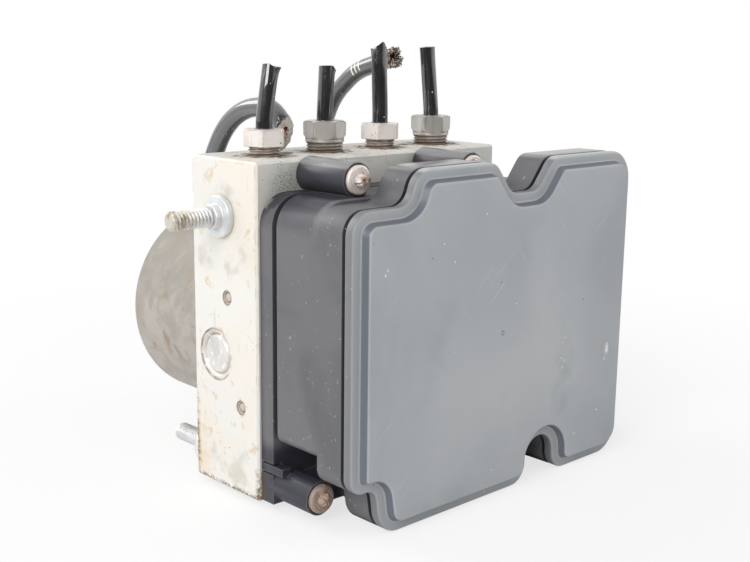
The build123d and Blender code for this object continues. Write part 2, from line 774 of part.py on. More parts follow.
# each valve is one closed sleeve, staked in the block, that the armature slides in
valve_back_y = front_y + valve_depth - fit_gap
dome_cavity_l = core_neck_y - dome_front_y - dome_wall
with BuildPart() as valve_bodies:
    with Locations(*at_valves(valve_back_y)):
        Cylinder(valve_r, valve_back_y - dome_front_y,
                 align=(Align.CENTER, Align.CENTER, Align.MIN))
    with BuildSketch(facing_front(core_neck_y)):
        with Locations(*valve_spots):
            RegularPolygon(dome_bore_r, valve_sides)
    extrude(amount=dome_cavity_l, mode=Mode.SUBTRACT)
valve_bodies.part.label = "valve_bodies"
export_step(valve_bodies.part, "parts/valve_bodies.step")

# the armatures are flatted bars
armature_start_y = core_neck_y - valve_lift - running_gap
for index, (valve_x, valve_z) in enumerate(valve_spots):
    with BuildPart() as armature:
        with BuildSketch(facing_front(armature_start_y)):
            with Locations((valve_x, valve_z)):
                RegularPolygon(dome_bore_r - running_gap / cos(radians(180 / valve_sides)),
                               valve_sides)
        extrude(amount=valve_armature_l)
    armature.part.label = f"valve_armature_{index + 1}"
    export_step(armature.part, f"parts/valve_armature_{index + 1}.step")

valve_spring_start_y = armature_start_y - valve_armature_l - seat_gap
with BuildPart() as valve_springs:
    with BuildSketch(facing_front(valve_spring_start_y)):
        with Locations(*valve_spots):
            RegularPolygon(valve_spring_r, spring_sides)
    extrude(amount=valve_spring_start_y - dome_front_y - dome_wall)
valve_springs.part.label = "valve_springs"
export_step(valve_springs.part, "parts/valve_springs.step")

# coils in their yokes, slid over the sleeves, each with two pins to the board
with BuildPart() as valve_coils:
    with BuildSketch(facing_front(coil_start_y)):
        with Locations(*valve_spots):
            Rectangle(coil_w, coil_h)
            Circle(valve_r + fit_gap, mode=Mode.SUBTRACT)
    extrude(amount=coil_l)
    with BuildSketch(facing_front(coil_start_y - coil_l)):
        for pin_side in side_signs.values():
            with Locations(*[(x + pin_side * coil_pin_offset, z + coil_h / 2 - coil_pin_w)
                             for x, z in valve_spots]):
                Rectangle(coil_pin_w, coil_pin_w)
    extrude(amount=coil_start_y - coil_l - board_y)
valve_coils.part.label = "valve_coils"
export_step(valve_coils.part, "parts/valve_coils.step")

# ----------------------------------------------------------- control unit case
cover_corner_r = 10.0
cover_step_r = 7.0
notch_r = 6.0
mouth_r = 6.5
corner_c_r = 4.0


def round_corners(sketch, corners):
    """Round the corners of a sketch that lie nearest to the given spots."""
    for x, z, radius in corners:
        fillet(sketch.vertices().sort_by_distance((x, z, 0))[0], radius)


notch_a_x = screw_a[0] + notch_a_foot
notch_a_top_x = screw_a[0] + notch_a_head
notch_b_x = screw_b[0] + notch_b_shift
notch_b_left = notch_b_x - notch_b_half
notch_b_right = notch_b_x + notch_b_half
notch_c_x = screw_c[0] + notch_c_side
notch_c_low_x = notch_c_x + notch_c_flare
notch_c_z = screw_c[1] + notch_c_rise
with BuildSketch() as cover_profile:
    with BuildLine():
        Polyline(
            (cover_left, notch_c_z), (cover_left, notch_floor_z), (notch_a_x, notch_floor_z),
            (notch_a_top_x, cover_top), (notch_b_left - notch_b_flare, cover_top),
            (notch_b_left, notch_floor_z), (notch_b_right, notch_floor_z),
            (notch_b_right + notch_b_flare, cover_top), (cover_right, cover_top),
            (cover_right, cover_bottom), (notch_c_low_x, cover_bottom), (notch_c_x, notch_c_z),
            close=True)
    make_face()
    with Locations((screw_d[0], notch_d_z)):
        Circle(notch_d_r, mode=Mode.SUBTRACT)
        Rectangle(2 * notch_d_r, notch_d_z - cover_bottom, align=(Align.CENTER, Align.MAX),
                  mode=Mode.SUBTRACT)
    round_corners(cover_profile, [
        (cover_left, notch_c_z, corner_c_r + 1), (cover_left, notch_floor_z, cover_step_r),
        (notch_a_x, notch_floor_z, notch_r), (notch_a_top_x, cover_top, cover_step_r),
        (notch_b_left - notch_b_flare, cover_top, notch_r),
        (notch_b_left, notch_floor_z, notch_r), (notch_b_right, notch_floor_z, notch_r),
        (notch_b_right + notch_b_flare, cover_top, notch_r),
        (cover_right, cover_top, cover_corner_r), (cover_right, cover_bottom, cover_corner_r),
        (screw_d[0] + notch_d_r, cover_bottom, mouth_r),
        (screw_d[0] - notch_d_r, cover_bottom, mouth_r),
        (notch_c_low_x, cover_bottom, cover_step_r + 1), (notch_c_x, notch_c_z, corner_c_r),
    ])

# the deep part that holds the coils, with a chin between the two lower screws
chin_left = screw_c[0] + 10.0
chin_right = screw_d[0] - 11.0
chin_bottom = 2.5
chin_corner_r = 3.0
with BuildSketch() as core_profile:
    with BuildLine():
        Polyline(
            (cover_left, core_bottom), (cover_left, core_top), (core_right, core_top),
            (core_right, core_bottom), (chin_right, core_bottom), (chin_right, chin_bottom),
            (chin_left, chin_bottom), (chin_left, core_bottom), close=True)
    make_face()
    round_corners(core_profile, [
        (cover_left, core_top, core_corner_r), (core_right, core_top, core_corner_r),
        (core_right, core_bottom, core_corner_r), (cover_left, core_bottom, chin_corner_r),
        (chin_left, chin_bottom, chin_corner_r), (chin_right, chin_bottom, chin_corner_r),
    ])

web_sink = 1.5           # the webs end this far behind the bosses' faces
flange_low_z = 13.6      # left edge of the flange ends here
foot_top_z = 9.9         # and the foot of the lower left boss starts here
foot_bottom_z = 0.6
slot_depth = 3.0
finger_gap = 0.6
finger_l = 10.0
connector_x = 65.6
connector_w = 19.0
connector_low_z = 14.0
connector_high_z = block_h - 29.0
connector_rear_y = -9.0
connector_wall = 2.0
connector_corner_r = 3.0
connector_mid_z = (connector_low_z + connector_high_z) / 2
connector_h = connector_high_z - connector_low_z
pin_row_pitch = 5.0
pin_pitch = 6.0
pins_per_row = 8
pin_w = 1.2
pin_l = 12.0
gasket_w = 1.6
gasket_t = 1.6
gasket_inset = 2.8       # from the edge of the chamber's opening to the groove's far side
pocket_floor_y = front_y - flange_t
chamber_inset = wall + groove_depth

# spaces inside: the coil chamber, open to the block, and the board's bay in the slab
chamber_left = cover_left + chamber_inset
chamber_right = core_right - chamber_inset
chamber_low = core_bottom + chamber_inset
chamber_high = core_top - chamber_inset
bay_left = cover_left + wall
bay_right = cover_right - wall
bay_low = notch_c_z + wall
bay_high = notch_floor_z - wall
bay_corner_r = cover_step_r - wall
opening_low = valve_row_zs[0] - coil_h / 2 - fit_gap
gasket_left = chamber_left - gasket_inset
gasket_right = chamber_right + gasket_inset
gasket_low = opening_low - gasket_inset - gasket_w
gasket_high = chamber_high + gasket_inset
connector_spot = [(connector_x, connector_mid_z)]
pin_spots = [
    (connector_x + (row - 0.5) * pin_row_pitch,
     connector_mid_z + (column - (pins_per_row - 1) / 2) * pin_pitch)
    for row in range(2) for column in range(pins_per_row)
]


def span(left, right, low, high):
    """Rectangle given by its four sides."""
    with Locations(((left + right) / 2, (low + high) / 2)):
        Rectangle(right - left, high - low)


def bay_outline(inset=0.0):
    """Outline of the board's bay, moved inwards by inset."""
    with BuildSketch(mode=Mode.PRIVATE) as outline:
        span(bay_left + inset, bay_right - inset, bay_low + inset, bay_high - inset)
        fillet(outline.vertices(), bay_corner_r - inset)
    add(outline.sketch)


with BuildPart() as housing:
    # flange against the block, with the foot of the lower left boss
    with BuildSketch(front_face):
        with BuildLine():
            Polyline(
                (cover_left, flange_low_z), (cover_left, core_top), (core_right, core_top),
                (core_right, foot_bottom_z), (cover_left, foot_bottom_z),
                (cover_left, foot_top_z), (cover_left + slot_depth, foot_top_z),
                (cover_left + slot_depth, flange_low_z), close=True)
        make_face()
    extrude(amount=flange_t)
    fillet(housing.edges().filter_by(Axis.Y).sort_by_distance((cover_left, 0, core_top))[0],
           core_corner_r)
    # neck between the flange and the coil chamber
    with BuildSketch(facing_front(pocket_floor_y)):
        add(core_profile.sketch)
        offset(amount=-groove_depth)
    extrude(amount=groove_w)
    with BuildSketch(facing_front(pocket_floor_y - groove_w)):
        add(core_profile.sketch)
    extrude(amount=pocket_floor_y - groove_w - slab_y)
    with BuildSketch(facing_front(slab_y)):
        add(cover_profile.sketch)
    extrude(amount=slab_y - seam_y)
    # four screw bosses and the webs that join them to the chamber
    with BuildSketch(front_face):
        with Locations(*screw_spots):
            Circle(boss_r)
    extrude(amount=boss_l)
    with BuildSketch(facing_front(pocket_floor_y)):
        for screw_x, screw_z in (screw_a, screw_b):
            with Locations((screw_x, screw_z)):
                Rectangle(boss_r, screw_z - core_top + wall, align=(Align.CENTER, Align.MAX))
        with Locations(screw_c):
            Rectangle(chin_left - screw_c[0] + wall, boss_r, align=(Align.MIN, Align.CENTER))
        with Locations(screw_d):
            Rectangle(screw_d[0] - chin_right + wall, boss_r, align=(Align.MAX, Align.CENTER))
    extrude(amount=boss_l - flange_t - web_sink)
    # snap finger in the slot under the flange
    with Locations((cover_left, front_y, (foot_top_z + flange_low_z) / 2)):
        Box(slot_depth + seat_gap, finger_l, flange_low_z - foot_top_z - 2 * finger_gap,
            align=(Align.MIN, Align.MAX, Align.CENTER))
    # plug shroud beside the block, open to the rear
    with BuildSketch(facing_front(connector_rear_y)):
        with Locations((connector_x, connector_mid_z)):
            RectangleRounded(connector_w, connector_h, connector_corner_r)
    extrude(amount=connector_rear_y - slab_y)
    # hollow for coils and circuit board
    with BuildSketch(facing_front(seam_y)):
        bay_outline()
    extrude(amount=board_y - seam_y, mode=Mode.SUBTRACT, dir=(0, 1, 0))
    with BuildSketch(facing_front(board_y)):
        span(chamber_left, chamber_right, chamber_low, chamber_high)
    extrude(amount=pocket_floor_y - board_y, mode=Mode.SUBTRACT, dir=(0, 1, 0))
    with BuildSketch(facing_front(pocket_floor_y)):
        span(chamber_left, chamber_right, opening_low, chamber_high)
    extrude(amount=flange_t, mode=Mode.SUBTRACT, dir=(0, 1, 0))
    # groove for the gasket round the opening
    with BuildSketch(front_face):
        span(gasket_left, gasket_right, gasket_low, gasket_high)
        with Locations(((gasket_left + gasket_right) / 2, (gasket_low + gasket_high) / 2)):
            Rectangle(gasket_right - gasket_left - 2 * gasket_w,
                      gasket_high - gasket_low - 2 * gasket_w, mode=Mode.SUBTRACT)
    extrude(amount=gasket_t, mode=Mode.SUBTRACT)
    # screw holes with a recess for each head
    bore(facing_front(front_y - boss_l), screw_spots, screw_hole_r, boss_l)
    bore(facing_front(front_y - boss_l), screw_spots, boss_recess_r, head_sink)
    # plug socket with its contact pins through the floor
    with BuildSketch(facing_front(connector_rear_y)):
        with Locations(*connector_spot):
            Rectangle(connector_w - 2 * connector_wall, connector_h - 2 * connector_wall)
    extrude(amount=connector_rear_y - slab_y, mode=Mode.SUBTRACT)
    with BuildSketch(facing_front(slab_y)):
        with Locations(*pin_spots):
            Rectangle(pin_w, pin_w)
    extrude(amount=slab_y - board_y, mode=Mode.SUBTRACT)
housing.part.label = "control_unit_housing"
export_step(housing.part, "parts/control_unit_housing.step")

with BuildPart() as gasket:
    with BuildSketch(front_face):
        span(gasket_left, gasket_right, gasket_low, gasket_high)
        with Locations(((gasket_left + gasket_right) / 2, (gasket_low + gasket_high) / 2)):
            Rectangle(gasket_right - gasket_left - 2 * gasket_w,
                      gasket_high - gasket_low - 2 * gasket_w, mode=Mode.SUBTRACT)
    extrude(amount=gasket_t)
gasket.part.label = "housing_gasket"
export_step(gasket.part, "parts/housing_gasket.step")

with BuildPart() as board:
    with BuildSketch(facing_front(board_y)):
        bay_outline(fit_gap)
    extrude(amount=board_t)
board.part.label = "circuit_board"
export_step(board.part, "parts/circuit_board.step")

with BuildPart() as connector_pins:
    with BuildSketch(facing_front(board_y)):
        with Locations(*pin_spots):
            Rectangle(pin_w, pin_w)
    extrude(amount=-pin_l)
connector_pins.part.label = "connector_pins"
export_step(connector_pins.part, "parts/connector_pins.step")

# the screws run through the bosses into the block
head_seat_y = front_y - boss_l + head_sink
with BuildPart() as control_unit_screws:
    with Locations(*spots_on(facing_front(head_seat_y), screw_spots)):
        Cylinder(head_r, head_t, align=(Align.CENTER, Align.CENTER, Align.MIN))
        Cylinder(screw_r, boss_l - head_sink + screw_depth - seat_gap,
                 align=(Align.CENTER, Align.CENTER, Align.MAX))
control_unit_screws.part.label = "control_unit_screws"
export_step(control_unit_screws.part, "parts/control_unit_screws.step")

# lid: rim and raised centre, a tongue that sits on the housing, hollow behind
with BuildPart() as lid:
    with BuildSketch(facing_front(seam_y - seam_gap)):
        add(cover_profile.sketch)
    extrude(amount=seam_y - seam_gap - lid_face_y)
    with BuildSketch(facing_front(lid_face_y)):
        add(cover_profile.sketch)
        offset(amount=-plateau_inset)
    with BuildSketch(facing_front(lid_face_y - plateau_h)):
        add(cover_profile.sketch)
        offset(amount=-plateau_inset - plateau_draft)
    loft()
    with BuildSketch(facing_front(seam_y)):
        bay_outline(-tongue_w)
    extrude(amount=seam_gap)
    with BuildSketch(facing_front(seam_y)):
        bay_outline()
    extrude(amount=seam_y - lid_face_y - lid_skin, mode=Mode.SUBTRACT)
lid.part.label = "control_unit_lid"
export_step(lid.part, "parts/control_unit_lid.step")
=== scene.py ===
from math import atan2, ceil, copysign, cos, degrees, hypot, pi, radians, sin, tan, tau
import bpy
from mathutils import Matrix, Vector
from numpy import interp


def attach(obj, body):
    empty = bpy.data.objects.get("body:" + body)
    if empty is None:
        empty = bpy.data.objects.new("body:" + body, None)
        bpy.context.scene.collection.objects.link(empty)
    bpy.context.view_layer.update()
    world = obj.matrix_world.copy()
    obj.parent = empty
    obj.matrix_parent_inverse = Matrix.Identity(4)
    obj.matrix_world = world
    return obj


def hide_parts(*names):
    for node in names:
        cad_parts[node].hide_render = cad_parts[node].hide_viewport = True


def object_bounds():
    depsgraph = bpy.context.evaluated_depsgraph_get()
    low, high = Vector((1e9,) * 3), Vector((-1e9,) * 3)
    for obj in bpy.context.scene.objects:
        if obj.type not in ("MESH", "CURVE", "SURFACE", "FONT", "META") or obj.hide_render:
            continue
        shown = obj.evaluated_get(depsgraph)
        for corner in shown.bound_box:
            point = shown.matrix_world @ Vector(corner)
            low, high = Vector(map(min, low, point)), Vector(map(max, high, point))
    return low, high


# Anti-lock brake modulator: valve block, pump motor, control unit and cut brake pipes.
# Metres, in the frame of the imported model. Sizes are given in millimetres times MM.

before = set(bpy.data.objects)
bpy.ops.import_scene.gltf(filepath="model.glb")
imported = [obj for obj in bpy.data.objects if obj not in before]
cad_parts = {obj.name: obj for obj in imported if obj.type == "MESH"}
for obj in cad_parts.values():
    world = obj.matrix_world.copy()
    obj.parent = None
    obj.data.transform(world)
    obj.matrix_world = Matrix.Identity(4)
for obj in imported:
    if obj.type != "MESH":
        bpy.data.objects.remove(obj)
cad_box = [list(corner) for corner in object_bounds()]
MM = 0.001
ROOT = "modulator"


# ---- places taken from the solids
BLOCK_TOP = 105
BLOCK_REAR = 16.5
BLOCK_HALF = 52.5
PORT_Y = -0.5
OUTLET_XS = [-36.9, -12.3, 12.3, 36.9]
OUTLET_TURNS = [48, 19, 42, 22]
INLET_X = 26.25
INLET_Z = 91.4
PUMP_Y = 4.9
PUMP_Z = 43
MOTOR_X = -2.5
LUG_REACH = 41
LUG_T = 2
MOTOR_DEEPER = 2
GASKET_R = 6
GASKET_W = 1.6
PIPE_START = 9.1             # the pipes begin this deep in their ports
TOWARDS_FRONT = Vector((-0.687, -0.727, 0))    # the side that the torn ends are set from
RING_AXIS = (-0.88, 0.47)    # Y and Z of the right inlet pipe's run where it is ringed
RING_STARTS = (37.6, 39.5, 41.4)


# ---- the view
CAMERA_AT = Vector((-254.48, -281.27, 139.93)) * MM
CAMERA_YAW = radians(43.388)
CAMERA_PITCH = radians(11.857)
CAMERA_ROLL = radians(-0.717)
CAMERA_LENS = 54.73
CAMERA_SENSOR = 36


def set_up(thing, **settings):
    """Set several properties of a thing and give it back."""
    for key, value in settings.items():
        setattr(thing, key, value)
    return thing


def make_camera():
    """Camera at the height and distance that give the view's perspective."""
    bpy.ops.object.camera_add()
    camera = bpy.context.object
    camera.name = "view_camera"
    camera.matrix_world = (Matrix.Translation(CAMERA_AT) @ Matrix.Rotation(-CAMERA_YAW, 4, "Z")
                           @ Matrix.Rotation(radians(90) - CAMERA_PITCH, 4, "X")
                           @ Matrix.Rotation(-CAMERA_ROLL, 4, "Z"))
    set_up(camera.data, lens=CAMERA_LENS, sensor_width=CAMERA_SENSOR, clip_start=0.01,
           clip_end=20)
    bpy.context.scene.camera = camera


# ---- shader nodes
MEASURES = ("LENGTH", "DISTANCE", "DOT_PRODUCT")     # vector operations that give a number


def wire(tree, kind, *sources, **settings):
    """A node with its first inputs linked or set, and properties given by name."""
    node = set_up(tree.nodes.new("ShaderNode" + kind), **settings)
    for socket, value in zip(node.inputs, sources):
        if isinstance(value, bpy.types.Node):
            value = value.outputs[0]
        if isinstance(value, bpy.types.NodeSocket):
            tree.links.new(value, socket)
        elif value is not None:
            socket.default_value = value
    return node


def maths(tree, operation, *sources, **settings):
    """Numbers put together by a Math operation."""
    return wire(tree, "Math", *sources, operation=operation, **settings).outputs[0]


def vector(tree, operation, *sources):
    """Vectors put together, or measured, by a Vector Math operation."""
    node = wire(tree, "VectorMath", *sources, operation=operation)
    return node.outputs["Value" if operation in MEASURES else "Vector"]


def part_place(tree):
    """Where a surface point lies on the part, in metres."""
    return tree.nodes.new("ShaderNodeTexCoord").outputs["Object"]


def noise_at(tree, place, scale, detail, distortion=0):
    """Layered noise between 0 and 1 at a place."""
    kept = [None] * 4        # roughness, lacunarity, offset and gain
    return wire(tree, "TexNoise", place, None, scale, detail, *kept, distortion).outputs["Fac"]


def ramp(tree, value, *limits):
    """Smooth step of a value from one limit to the other."""
    return wire(tree, "MapRange", value, *limits, interpolation_type="SMOOTHSTEP").outputs[0]


# ---- floor and lighting
FLOOR_Z = cad_box[0][2] - 0.3 * MM
FLOOR_SIZE = 8
WHITE_FROM, WHITE_FULL, WHITE_NEAR = 0.1, 0.34, 0.72    # how plain white the floor is seen
CARPET_FROM, CARPET_FULL, CARPET_SHARE = 0.1, 0.3, 0.9
DARK_WALL = (-0.69, -0.72, 0.08)
WALL_FROM, WALL_FULL, WALL_LIGHT = 0.3, 0.8, 0.1
DIFFUSE_LIGHT = 0.42
WHITE = (1, 1, 1, 1)
PAPER = (0.93, 0.93, 0.93, 1)
CARPET = (0.03, 0.03, 0.03, 1)


def backdrop_material():
    """Pale paper: plain white to the camera far off, dark to glossy rays by the camera."""
    material = bpy.data.materials.new("paper")
    material.use_nodes = True
    tree = material.node_tree
    tree.nodes.clear()
    ray = tree.nodes.new("ShaderNodeLightPath").outputs
    place = part_place(tree)
    away = vector(tree, "LENGTH", place)
    far = wire(tree, "MapRange", away, WHITE_FROM, WHITE_FULL, WHITE_NEAR)
    near = vector(tree, "DOT_PRODUCT", place, DARK_WALL)
    carpet = wire(tree, "MapRange", near, CARPET_FROM, CARPET_FULL, 0, CARPET_SHARE)
    paper = wire(tree, "MixShader", maths(tree, "MULTIPLY", ray["Is Camera Ray"], far),
                 wire(tree, "BsdfDiffuse", PAPER), wire(tree, "Emission", WHITE))
    shown = wire(tree, "MixShader", maths(tree, "MULTIPLY", ray["Is Glossy Ray"], carpet),
                 paper, wire(tree, "BsdfDiffuse", CARPET))
    wire(tree, "OutputMaterial", shown)
    return material


def make_stage():
    """A wide floor under the part."""
    bpy.ops.mesh.primitive_plane_add(size=FLOOR_SIZE, location=(0, 0, FLOOR_Z))
    floor = bpy.context.object
    floor.name = "floor"
    floor.data.materials.append(backdrop_material())


def soft_box(name, place, target, size, power):
    """A square studio light that looks at a point."""
    bpy.ops.object.light_add(type="AREA", location=place)
    light = bpy.context.object
    light.name = name
    set_up(light.data, shape="SQUARE", size=size, energy=power)
    aim = (Vector(target) - Vector(place)).normalized()
    light.rotation_euler = aim.to_track_quat("-Z", "Y").to_euler()


def make_lights():
    """World light that is white to the camera, and three soft boxes.

    What shines mirrors a white room whose wall behind the camera is dark."""
    world = bpy.data.worlds.new("studio")
    bpy.context.scene.world = world
    world.use_nodes = True
    tree = world.node_tree
    tree.nodes.clear()
    ray = tree.nodes.new("ShaderNodeLightPath").outputs
    seen = maths(tree, "MAXIMUM", ray["Is Camera Ray"], ray["Is Transmission Ray"])
    ahead = tree.nodes.new("ShaderNodeTexCoord").outputs["Generated"]
    towards = vector(tree, "DOT_PRODUCT", ahead, DARK_WALL)
    wall = ramp(tree, towards, WALL_FROM, WALL_FULL, 1, WALL_LIGHT)
    # matt light everywhere, the room for glossy rays, plain white for the camera
    room = wire(tree, "Mix", ray["Is Glossy Ray"], None, DIFFUSE_LIGHT, wall)
    strength = wire(tree, "Mix", seen, None, room, 1)
    wire(tree, "OutputWorld", wire(tree, "Background", WHITE, strength))
    soft_box("key_light", (-0.95, -0.35, 0.6), (0, 0, 0.05), 0.7, 9)
    soft_box("side_light", (0.9, -0.6, 0.5), (0, 0, 0.05), 0.6, 3)
    soft_box("back_light", (-0.4, 0.8, 0.7), (0, 0, 0.08), 0.6, 4)


# ---- mesh tools
MERGE = 0.002                # points this close become one


def select(*pieces):
    """Object mode with these pieces selected and the first one active."""
    if bpy.context.mode != "OBJECT":
        bpy.ops.object.mode_set(mode="OBJECT")
    bpy.ops.object.select_all(action="DESELECT")
    for piece in pieces:
        piece.select_set(True)
        bpy.context.view_layer.objects.active = pieces[0]


def clean_mesh(merge, finally_do, **settings):
    """Merge the doubles of the active piece, then do one more thing to its whole mesh."""
    bpy.ops.object.mode_set(mode="EDIT")
    bpy.ops.mesh.select_all(action="SELECT")
    bpy.ops.mesh.remove_doubles(threshold=merge * MM)
    finally_do(**settings)
    bpy.ops.object.mode_set(mode="OBJECT")


def settle(piece, sharp):
    """Apply what is live, merge doubles, turn the faces out, shade smooth by angle."""
    select(piece)
    for modifier in list(piece.modifiers):
        bpy.ops.object.modifier_apply(modifier=modifier.name)
    bpy.ops.object.transform_apply(location=True, rotation=True, scale=True)
    clean_mesh(MERGE, bpy.ops.mesh.normals_make_consistent, inside=False)
    bpy.ops.object.shade_smooth_by_angle(angle=radians(sharp))
    return piece


def sheet(name, columns, rows, shape):
    """A flat grid bent into shape; shape(around, along) gives a point for 0..1 of each."""
    select()
    bpy.ops.mesh.primitive_grid_add(x_subdivisions=columns, y_subdivisions=rows, size=1)
    piece = bpy.context.object
    piece.name = name
    for vertex in piece.data.vertices:
        vertex.co = shape(vertex.co.x + 0.5, vertex.co.y + 0.5) * MM
    return piece


def join(name, pieces):
    """Several pieces made one."""
    select(*pieces)
    bpy.ops.object.join()
    pieces[0].name = name
    pieces[0].data.name = name
    return pieces[0]


def twin(piece):
    """A copy of a piece with a mesh of its own."""
    made = piece.copy()
    made.data = piece.data.copy()
    bpy.context.collection.objects.link(made)
    return made


def finish_piece(piece, finish, slot, node=None):
    """Give a piece its finish if it has none and its body, and hide the CAD node that it stands
    for; slot is not used.
    """
    if not piece.data.materials:
        piece.data.materials.append(finish.material)
    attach(piece, ROOT)
    if node:
        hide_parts(node)


def fasten(name, rows, columns, places, sharp, *looks):
    """A body turned from rows and its copies at their places, as one finished piece."""
    piece = lathe(name, rows, columns)
    pieces = [piece, *(twin(piece) for _ in places[1:])]
    for each, place in zip(pieces, places):
        each.matrix_world = place
    finish_piece(settle(join(name, pieces), sharp), *looks)


def wobble(value, seed):
    """Smooth uneven number between -1 and 1 that repeats once a turn."""
    return (sin(value * 3 + seed) + sin(value * 5 + 2.3 * seed)
            + sin(value * 11 + 4.1 * seed)) / 3


TURNS = {"+Z": (0, "X"), "-X": (-90, "Y"), "+X": (90, "Y"), "+Y": (-90, "X"), "-Y": (90, "X")}


def facing(x, y, z, towards, turn=0):
    """Placement in millimetres whose Z points along an axis name such as -X."""
    angle, axis = TURNS[towards]
    return (Matrix.Translation(Vector((x, y, z)) * MM) @ Matrix.Rotation(radians(angle), 4, axis)
            @ Matrix.Rotation(radians(turn), 4, "Z"))


# ---- turned pieces
SIXTH = radians(60)     # between the corners of a hexagon


def thread_rows(radius, low, high, pitch, depth):
    """Rows of a screw thread from low to high that runs out at both ends."""
    count = max(4, round(8 * (high - low) / pitch))
    rows = []
    for step in range(count + 1):
        height = low + (high - low) * step / count
        ends = min(height - low, high - height) / pitch
        rows.append((radius, height, pitch, depth * min(1, 0.25 + 1.5 * ends)))
    return rows


def lathe(name, rows, columns):
    """A body turned about Z from rows in millimetres.

    A circle's row has its radius and height. A hexagon's has half its width across
    flats, its height and the circle that cuts its corners. A thread's has its radius,
    height, pitch and depth."""
    count = len(rows) - 1

    def shape(around, along):
        angle = around * tau
        radius, height, *more = rows[round(along * count)]
        if len(more) == 1:
            radius = min(radius / cos(angle % SIXTH - SIXTH / 2), more[0])
        elif more:
            pitch, depth = more
            phase = (height / pitch - around) % 1
            radius -= depth * min(1, max(0, abs(2 * phase - 1) * 1.5 - 0.2))
        return Vector((radius * cos(angle), radius * sin(angle), height))

    return sheet(name, columns, count, shape)


# ---- tube pieces
PIPE_STEP = 1.2              # longest step along a pipe
PIPE_COLUMNS = 72
BORE_DEPTH = 16
EDGE_ROUND = 0.12            # how far the middle of a torn edge stands out


def corner_route(corners, radii):
    """Points along straight runs whose corners are rounded with the given radii."""
    points = [Vector(corners[0])]
    for before, corner, after, radius in zip(corners, corners[1:], corners[2:], radii):
        here = Vector(corner)
        back = (Vector(before) - here).normalized()
        ahead = (Vector(after) - here).normalized()
        half = back.angle(ahead) / 2
        middle = here + (back + ahead).normalized() * radius / sin(half)
        first = here + back * radius / tan(half)
        last = here + ahead * radius / tan(half)
        sweep = (first - middle).angle(last - middle)
        steps = max(3, ceil(degrees(sweep) / 4))
        for step in range(steps + 1):
            turned = sweep * step / steps
            points.append(middle + ((first - middle) * sin(sweep - turned)
                                    + (last - middle) * sin(turned)) / sin(sweep))
    points.append(Vector(corners[-1]))
    return points


def densely(points, longest):
    """The same route with no step longer than a length."""
    route = [points[0]]
    for start, end in zip(points, points[1:]):
        steps = max(1, ceil((end - start).length / longest))
        route.extend(start.lerp(end, step / steps) for step in range(1, steps + 1))
    return route


def tube(name, points, outer, inner, rim, reach=7, planar=False):
    """A pipe along a route with an open torn end and an inner wall.

    rim(angle) gives (height, flare, squash) of the edge, with the angle measured
    from the side that faces the front. They fade out over reach. A planar end is
    cut straight across its wall and bore."""
    route = densely(points, PIPE_STEP)
    around = [route[0], *route, route[-1]]
    tangents = [(after - before).normalized() for before, after in zip(around, around[2:])]
    frames = []
    for tangent in tangents:
        front = (TOWARDS_FRONT - tangent * TOWARDS_FRONT.dot(tangent)).normalized()
        frames.append((front, tangent.cross(front)))
    lengths = [0]
    for start, end in zip(route, route[1:]):
        lengths.append(lengths[-1] + (end - start).length)
    total = lengths[-1]
    last = len(route) - 1
    outer_rows = [(index, outer, 0) for index in range(len(route))]
    inner_rows = [(index, inner, 0) for index in reversed(range(len(route)))
                  if total - lengths[index] < BORE_DEPTH]
    rows = [(0, 0, 0), *outer_rows, (last, outer, 1), (last, (outer + inner) / 2, 1.15),
            (last, inner, 1), *inner_rows, (inner_rows[-1][0], 0, 0)]

    def shape(around, along):
        angle = around * tau
        index, radius, edge = rows[round(along * (len(rows) - 1))]
        front, across = frames[index]
        height, flare, squash = rim(angle)
        if planar:
            level = (height + rim(angle + pi)[0]) / 2
            height = level + (height - level) * radius / outer
        near = 1 if edge else max(0, 1 - (total - lengths[index]) / reach) ** 2
        radius_here = radius + (flare * near ** 2 if radius > 0 else 0)
        out = front * cos(angle) * (1 - squash * near) + across * sin(angle)
        lift = tangents[index] * height * near
        lift += tangents[index] * EDGE_ROUND * (edge - 1 if edge > 1 else 0)
        return route[index] + out * radius_here + lift

    made = sheet(name, PIPE_COLUMNS, len(rows) - 1, shape)
    made["outer_rows"] = len(outer_rows)
    return made


# ---- shader node groups
GROUPS = {}


def shader_group(**inputs):
    """Build a node group from a function: number inputs with defaults, one output, Mask."""
    def build(fill):
        tree = bpy.data.node_groups.new(fill.__name__, "ShaderNodeTree")
        for label, default in inputs.items():
            socket = tree.interface.new_socket(label.replace("_", " "), in_out="INPUT",
                                               socket_type="NodeSocketFloat")
            socket.default_value = default
        tree.interface.new_socket("Mask", in_out="OUTPUT", socket_type="NodeSocketFloat")
        source = tree.nodes.new("NodeGroupInput").outputs
        result = tree.nodes.new("NodeGroupOutput").inputs["Mask"]
        tree.links.new(fill(tree, *source[:len(inputs)]), result)
        GROUPS[fill.__name__] = tree
        return fill
    return build


@shader_group(Scale=100, Low=0.4, High=0.6, Warp=0, Seed=0)
def blotches(tree, scale, low, high, warp, seed):
    """Soft uneven patches: 0 under Low and 1 over High of a layered noise."""
    shifted = vector(tree, "ADD", part_place(tree), seed)
    return ramp(tree, noise_at(tree, shifted, scale, 6, warp), low, high)


@shader_group(Scale=900, Size=0.3, Patch_Scale=60, Share=0.3)
def specks(tree, scale, size, patch_scale, share):
    """Separate specks of uneven size, thicker in some patches than in others."""
    place = part_place(tree)
    cells = wire(tree, "TexVoronoi", place, None, scale)
    reach = maths(tree, "MULTIPLY", noise_at(tree, place, patch_scale, 3), size)
    inside = maths(tree, "LESS_THAN", cells.outputs["Distance"], reach)
    colour = wire(tree, "SeparateColor", cells.outputs["Color"])
    chosen = maths(tree, "LESS_THAN", colour.outputs["Red"], share)
    return maths(tree, "MULTIPLY", inside, chosen)


